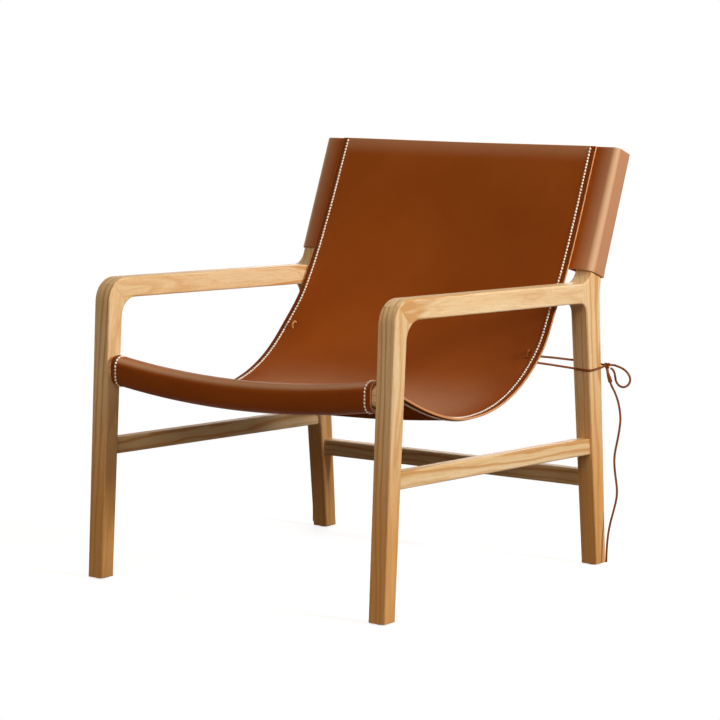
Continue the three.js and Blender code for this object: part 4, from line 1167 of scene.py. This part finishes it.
def run_points(s, holes):
    """From the knot round the back of the leg, through both holes and back round its front."""
    def hop(hole, k):
        at, out = hole
        return at + k * out

    def at(x, y, z):
        return np.array([s * x, y + shift_y, z])

    def y_back(z):
        return rear_leg_back(z) + lace_off

    def y_front(z):
        return rear_leg_front(z) - lace_off

    upper, lower = holes
    loop = LACE_HOLE_GAP / 2 + 0.0006
    z_in = KNOT_Z + 0.009
    z_up = KNOT_Z + 0.011
    z_low = KNOT_Z - 0.003
    turn = EDGE_R * 0.3 - lace_off * 0.7
    inside = at(inner_x - lace_off, y_front(z_in) + 0.008, z_up)
    before = at(inner_x + 0.006, y_front(z_low) - 0.0004, z_low)
    return [
        knot_at(s) + (-s * (KNOT_R + FIT), -0.0005, 0.001),
        at(outer_x - 0.008, y_back(KNOT_Z + 0.002) + 0.0006, KNOT_Z + 0.0025),
        at(inner_x + FRAME_THICK / 2, y_back(KNOT_Z + 0.004), KNOT_Z + 0.004),
        at(inner_x + 0.006, y_back(KNOT_Z + 0.006), KNOT_Z + 0.0055),
        at(inner_x + turn, rear_leg_back(z_in) - turn, z_in - 0.002),
        at(inner_x - lace_off, y_back(z_in) - 0.010, z_in - 0.001),
        at(inner_x - lace_off, (y_back(z_in) + y_front(z_in)) / 2, z_in),
        inside,
        mix(hop(upper, -0.010), inside, 0.5),
        mix(hop(upper, -0.011), inside, 0.12),
        hop(upper, -0.008),
        hop(upper, -0.003),
        hop(upper, 0.003),
        (hop(upper, loop) + hop(lower, loop)) / 2,
        hop(lower, 0.003),
        hop(lower, -0.003),
        hop(lower, -0.008),
        mix(hop(lower, -0.012), before, 0.12),
        mix(hop(lower, -0.012), before, 0.5),
        before,
        at(inner_x + FRAME_THICK / 2, y_front(z_low), z_low - 0.0008),
        at(outer_x - 0.006, y_front(z_low), z_low - 0.0014),
        at(outer_x - turn, rear_leg_front(z_low) + turn, z_low - 0.0016),
        at(outer_x + lace_off, y_front(z_low) + 0.009, z_low - 0.0014),
        at(outer_x + lace_off, (y_back(z_low) + y_front(z_low)) / 2, z_low - 0.0006),
        at(outer_x + lace_off + 0.0006, y_back(z_low) - 0.010, z_low + 0.0006),
        knot_at(s) + (-s * 0.0016, -(KNOT_R + FIT), -0.0005),
    ]


def build_knot(side, s, material):
    """Pulled-tight overhand knot: a closed trefoil of the same lace."""
    line = []
    for t in np.linspace(0, 2 * math.pi, KNOT_STEPS, endpoint=False):
        out = KNOT_LOBE * (math.sin(t) + 2 * math.sin(2 * t))
        rise = KNOT_LOBE * (math.cos(t) - 2 * math.cos(2 * t))
        line.append(spread(s, out, rise, -KNOT_DEEP * math.sin(3 * t)))
    points, faces = tube_mesh(line, KNOT_LACE_R, KNOT_SIDES, closed=True)
    return add_mesh(f"lace_knot_wound_{side}", points, faces, [material])


def build_end(side, s, material):
    """Short flat end of the lace, widening downwards and cut on the slant, hanging before the tail."""
    points = []
    for k in np.linspace(0, 1, END_ROWS):
        drop = END_TOP + END_LONG * k
        wide = mix(*END_WIDE, ease(k * END_FLARE))
        middle = mix(*END_OUT, k)
        fore = END_FORE + END_BOW * math.sin(math.pi * k)
        outline = rounded_rectangle(wide, END_THICK, END_R, END_CORNER_STEPS)
        points += [spread(s, middle + across, k * END_SLANT * (across / wide) - drop, fore + deep)
                   for across, deep in outline]
    faces = loft_faces(END_ROWS, len(outline), flip=s < 0)
    obj = add_mesh(f"lace_flat_end_{side}", points, faces, [material])
    crisp(obj)
    return obj


def add_lace(panel, side, s, material):
    holes = hole_frames(panel, s)
    knot = build_knot(side, s, material)
    end = build_end(side, s, material)
    drop = KNOT_Z - TAIL_CLEAR
    tail_points = [spread(s, 0.0008, -KNOT_R - FIT)] + [spread(s, k, -f * drop) for k, f in TAIL_ROUTE]
    bow_points = [spread(s, k, rise) for k, rise in BOW_ROUTE]
    run, run_long = lace_curve(f"lace_run_{side}", run_points(s, holes), material)
    bow, bow_long = lace_curve(f"lace_loop_{side}", bow_points, material)
    tail, tail_long = lace_curve(f"lace_hanging_{side}", tail_points, material)
    for piece, node in ((run, "lace"), (bow, "lace_bow"), (tail, "lace_tail"),
                        (knot, "lace_knot"), (end, "lace_end")):
        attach(piece, "root")
        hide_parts(f"{node}_{side}")


def add_leather():
    panel = Panel()
    hide = [hide_grain(), raw_edge(), hide_flesh()]
    cream = thread()
    lace = lace_leather()
    sling = build_panel(panel, hide)
    punch(sling, [h for s in SIDES.values() for h in hole_frames(panel, s)], hide[RAW])
    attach(sling, "root")
    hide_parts("sling_panel")
    for side, s in SIDES.items():
        stitching = build_stitching(panel, side, s, SLEEVE_LONG[s] - LEATHER, cream)
        sleeve = build_sleeve(panel, side, s, hide)
        cap = build_cap(side, s, hide[GRAIN])
        for piece in (stitching, sleeve, cap):
            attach(piece, "root")
        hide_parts(f"post_sleeve_{side}")
        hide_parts(f"post_sleeve_{side}")
        add_lace(panel, side, s, lace)


# Stage and light
LAMPS = {
    "key": dict(at=(4.4, 0.25, 2.2), size=(1.1, 1.1), power=29, colour=(0.97, 0.985, 1.0),
                aim=(0, 0, 0.9), spread=math.radians(70)),
    "back": dict(at=(-1.7, 2.9, 1.0), size=(1.6, 1.2), power=26, colour=(1.0, 0.97, 0.93)),
    "rim": dict(at=(1.9, 2.2, 0.95), size=(1.6, 1.6), power=9, colour=(1.0, 0.99, 0.97)),
    "top": dict(at=(0.2, 0.45, 2.5), size=(2.4, 2.0), power=15, colour=(1.0, 0.95, 0.88)),
    "side": dict(at=(-3.2, 0.35, 0.55), size=(1.4, 0.9), power=16, colour=(1.0, 0.96, 0.90)),
    "fill": dict(at=(1.2, -2.9, 1.9), size=(2.0, 1.6), power=42, colour=(1.0, 0.88, 0.74)),
}
LAMP_AIM = (0, 0, 0.4)
WORLD_COLOUR = (1.0, 0.93, 0.86)
WORLD_LEVEL = 0.05
FLOOR_HALF = 12
FLOOR_DROP = 0.0004
FLOOR_BOUNCE = (0.20, 0.155, 0.115)
FLOOR_SEEN = (0.55, 0.55, 0.55)
FLOOR_LIFT = 0.78
WHITE_FROM = 0.55
WHITE_TO = 1.10


def add_floor():
    """Plain floor: pure white away from the chair, and lit near it so that the chair's shadow shows."""
    corners = ((-1, -1), (1, -1), (1, 1), (-1, 1))
    points = [(x * FLOOR_HALF, y * FLOOR_HALF, -FLOOR_DROP) for x, y in corners]
    shader = Shader("floor")
    shader.nodes.remove(shader.nodes["Principled BSDF"])
    away = shader.vector("LENGTH", shader.place(), output="Value")
    far = shader.node("ShaderNodeMapRange", {
        "Value": away, "From Min": WHITE_FROM, "From Max": WHITE_TO,
    }, interpolation_type="SMOOTHSTEP").outputs["Result"]
    matte = shader.node("ShaderNodeBsdfDiffuse", {"Color": FLOOR_SEEN})
    bounce = shader.node("ShaderNodeBsdfDiffuse", {"Color": FLOOR_BOUNCE})
    glow = shader.node("ShaderNodeEmission", {"Strength": FLOOR_LIFT})
    white = shader.node("ShaderNodeEmission", {"Strength": 1.0})
    lit = shader.node("ShaderNodeAddShader", {0: matte.outputs[0], 1: glow.outputs[0]})
    pick = shader.pick(shader.seen(), bounce, shader.pick(far, lit, white))
    shader.join(pick.outputs[0], shader.nodes["Material Output"].inputs["Surface"])
    floor = add_mesh("floor", points, [(0, 1, 2, 3)], [shader.owner])


def add_lamp(name, at, size, power, colour, aim=LAMP_AIM, spread=math.pi):
    data = bpy.data.lights.new(name, "AREA")
    data.shape = "RECTANGLE"
    data.size, data.size_y = size
    data.energy = power
    data.color = colour
    data.spread = spread
    lamp = bpy.data.objects.new(name, data)
    lamp.location = at
    lamp.rotation_euler = (Vector(aim) - Vector(at)).to_track_quat("-Z", "Y").to_euler()
    bpy.context.scene.collection.objects.link(lamp)


def add_world():
    """White where it is looked at, and a weak even light on the object."""
    shader = Shader("world", "worlds")
    shader.nodes.clear()
    shown = shader.node("ShaderNodeBackground", {"Color": (1, 1, 1)})
    ambient = shader.node("ShaderNodeBackground", {"Color": WORLD_COLOUR, "Strength": WORLD_LEVEL})
    pick = shader.pick(shader.seen(), ambient, shown)
    shader.join(pick.outputs[0], shader.node("ShaderNodeOutputWorld").inputs["Surface"])
    bpy.context.scene.world = shader.owner
    bpy.context.scene.view_settings.view_transform = "Standard"


add_camera()
add_leather()
dress_frame()
add_floor()
for lamp_name, lamp in LAMPS.items():
    add_lamp(lamp_name, **lamp)
add_world()
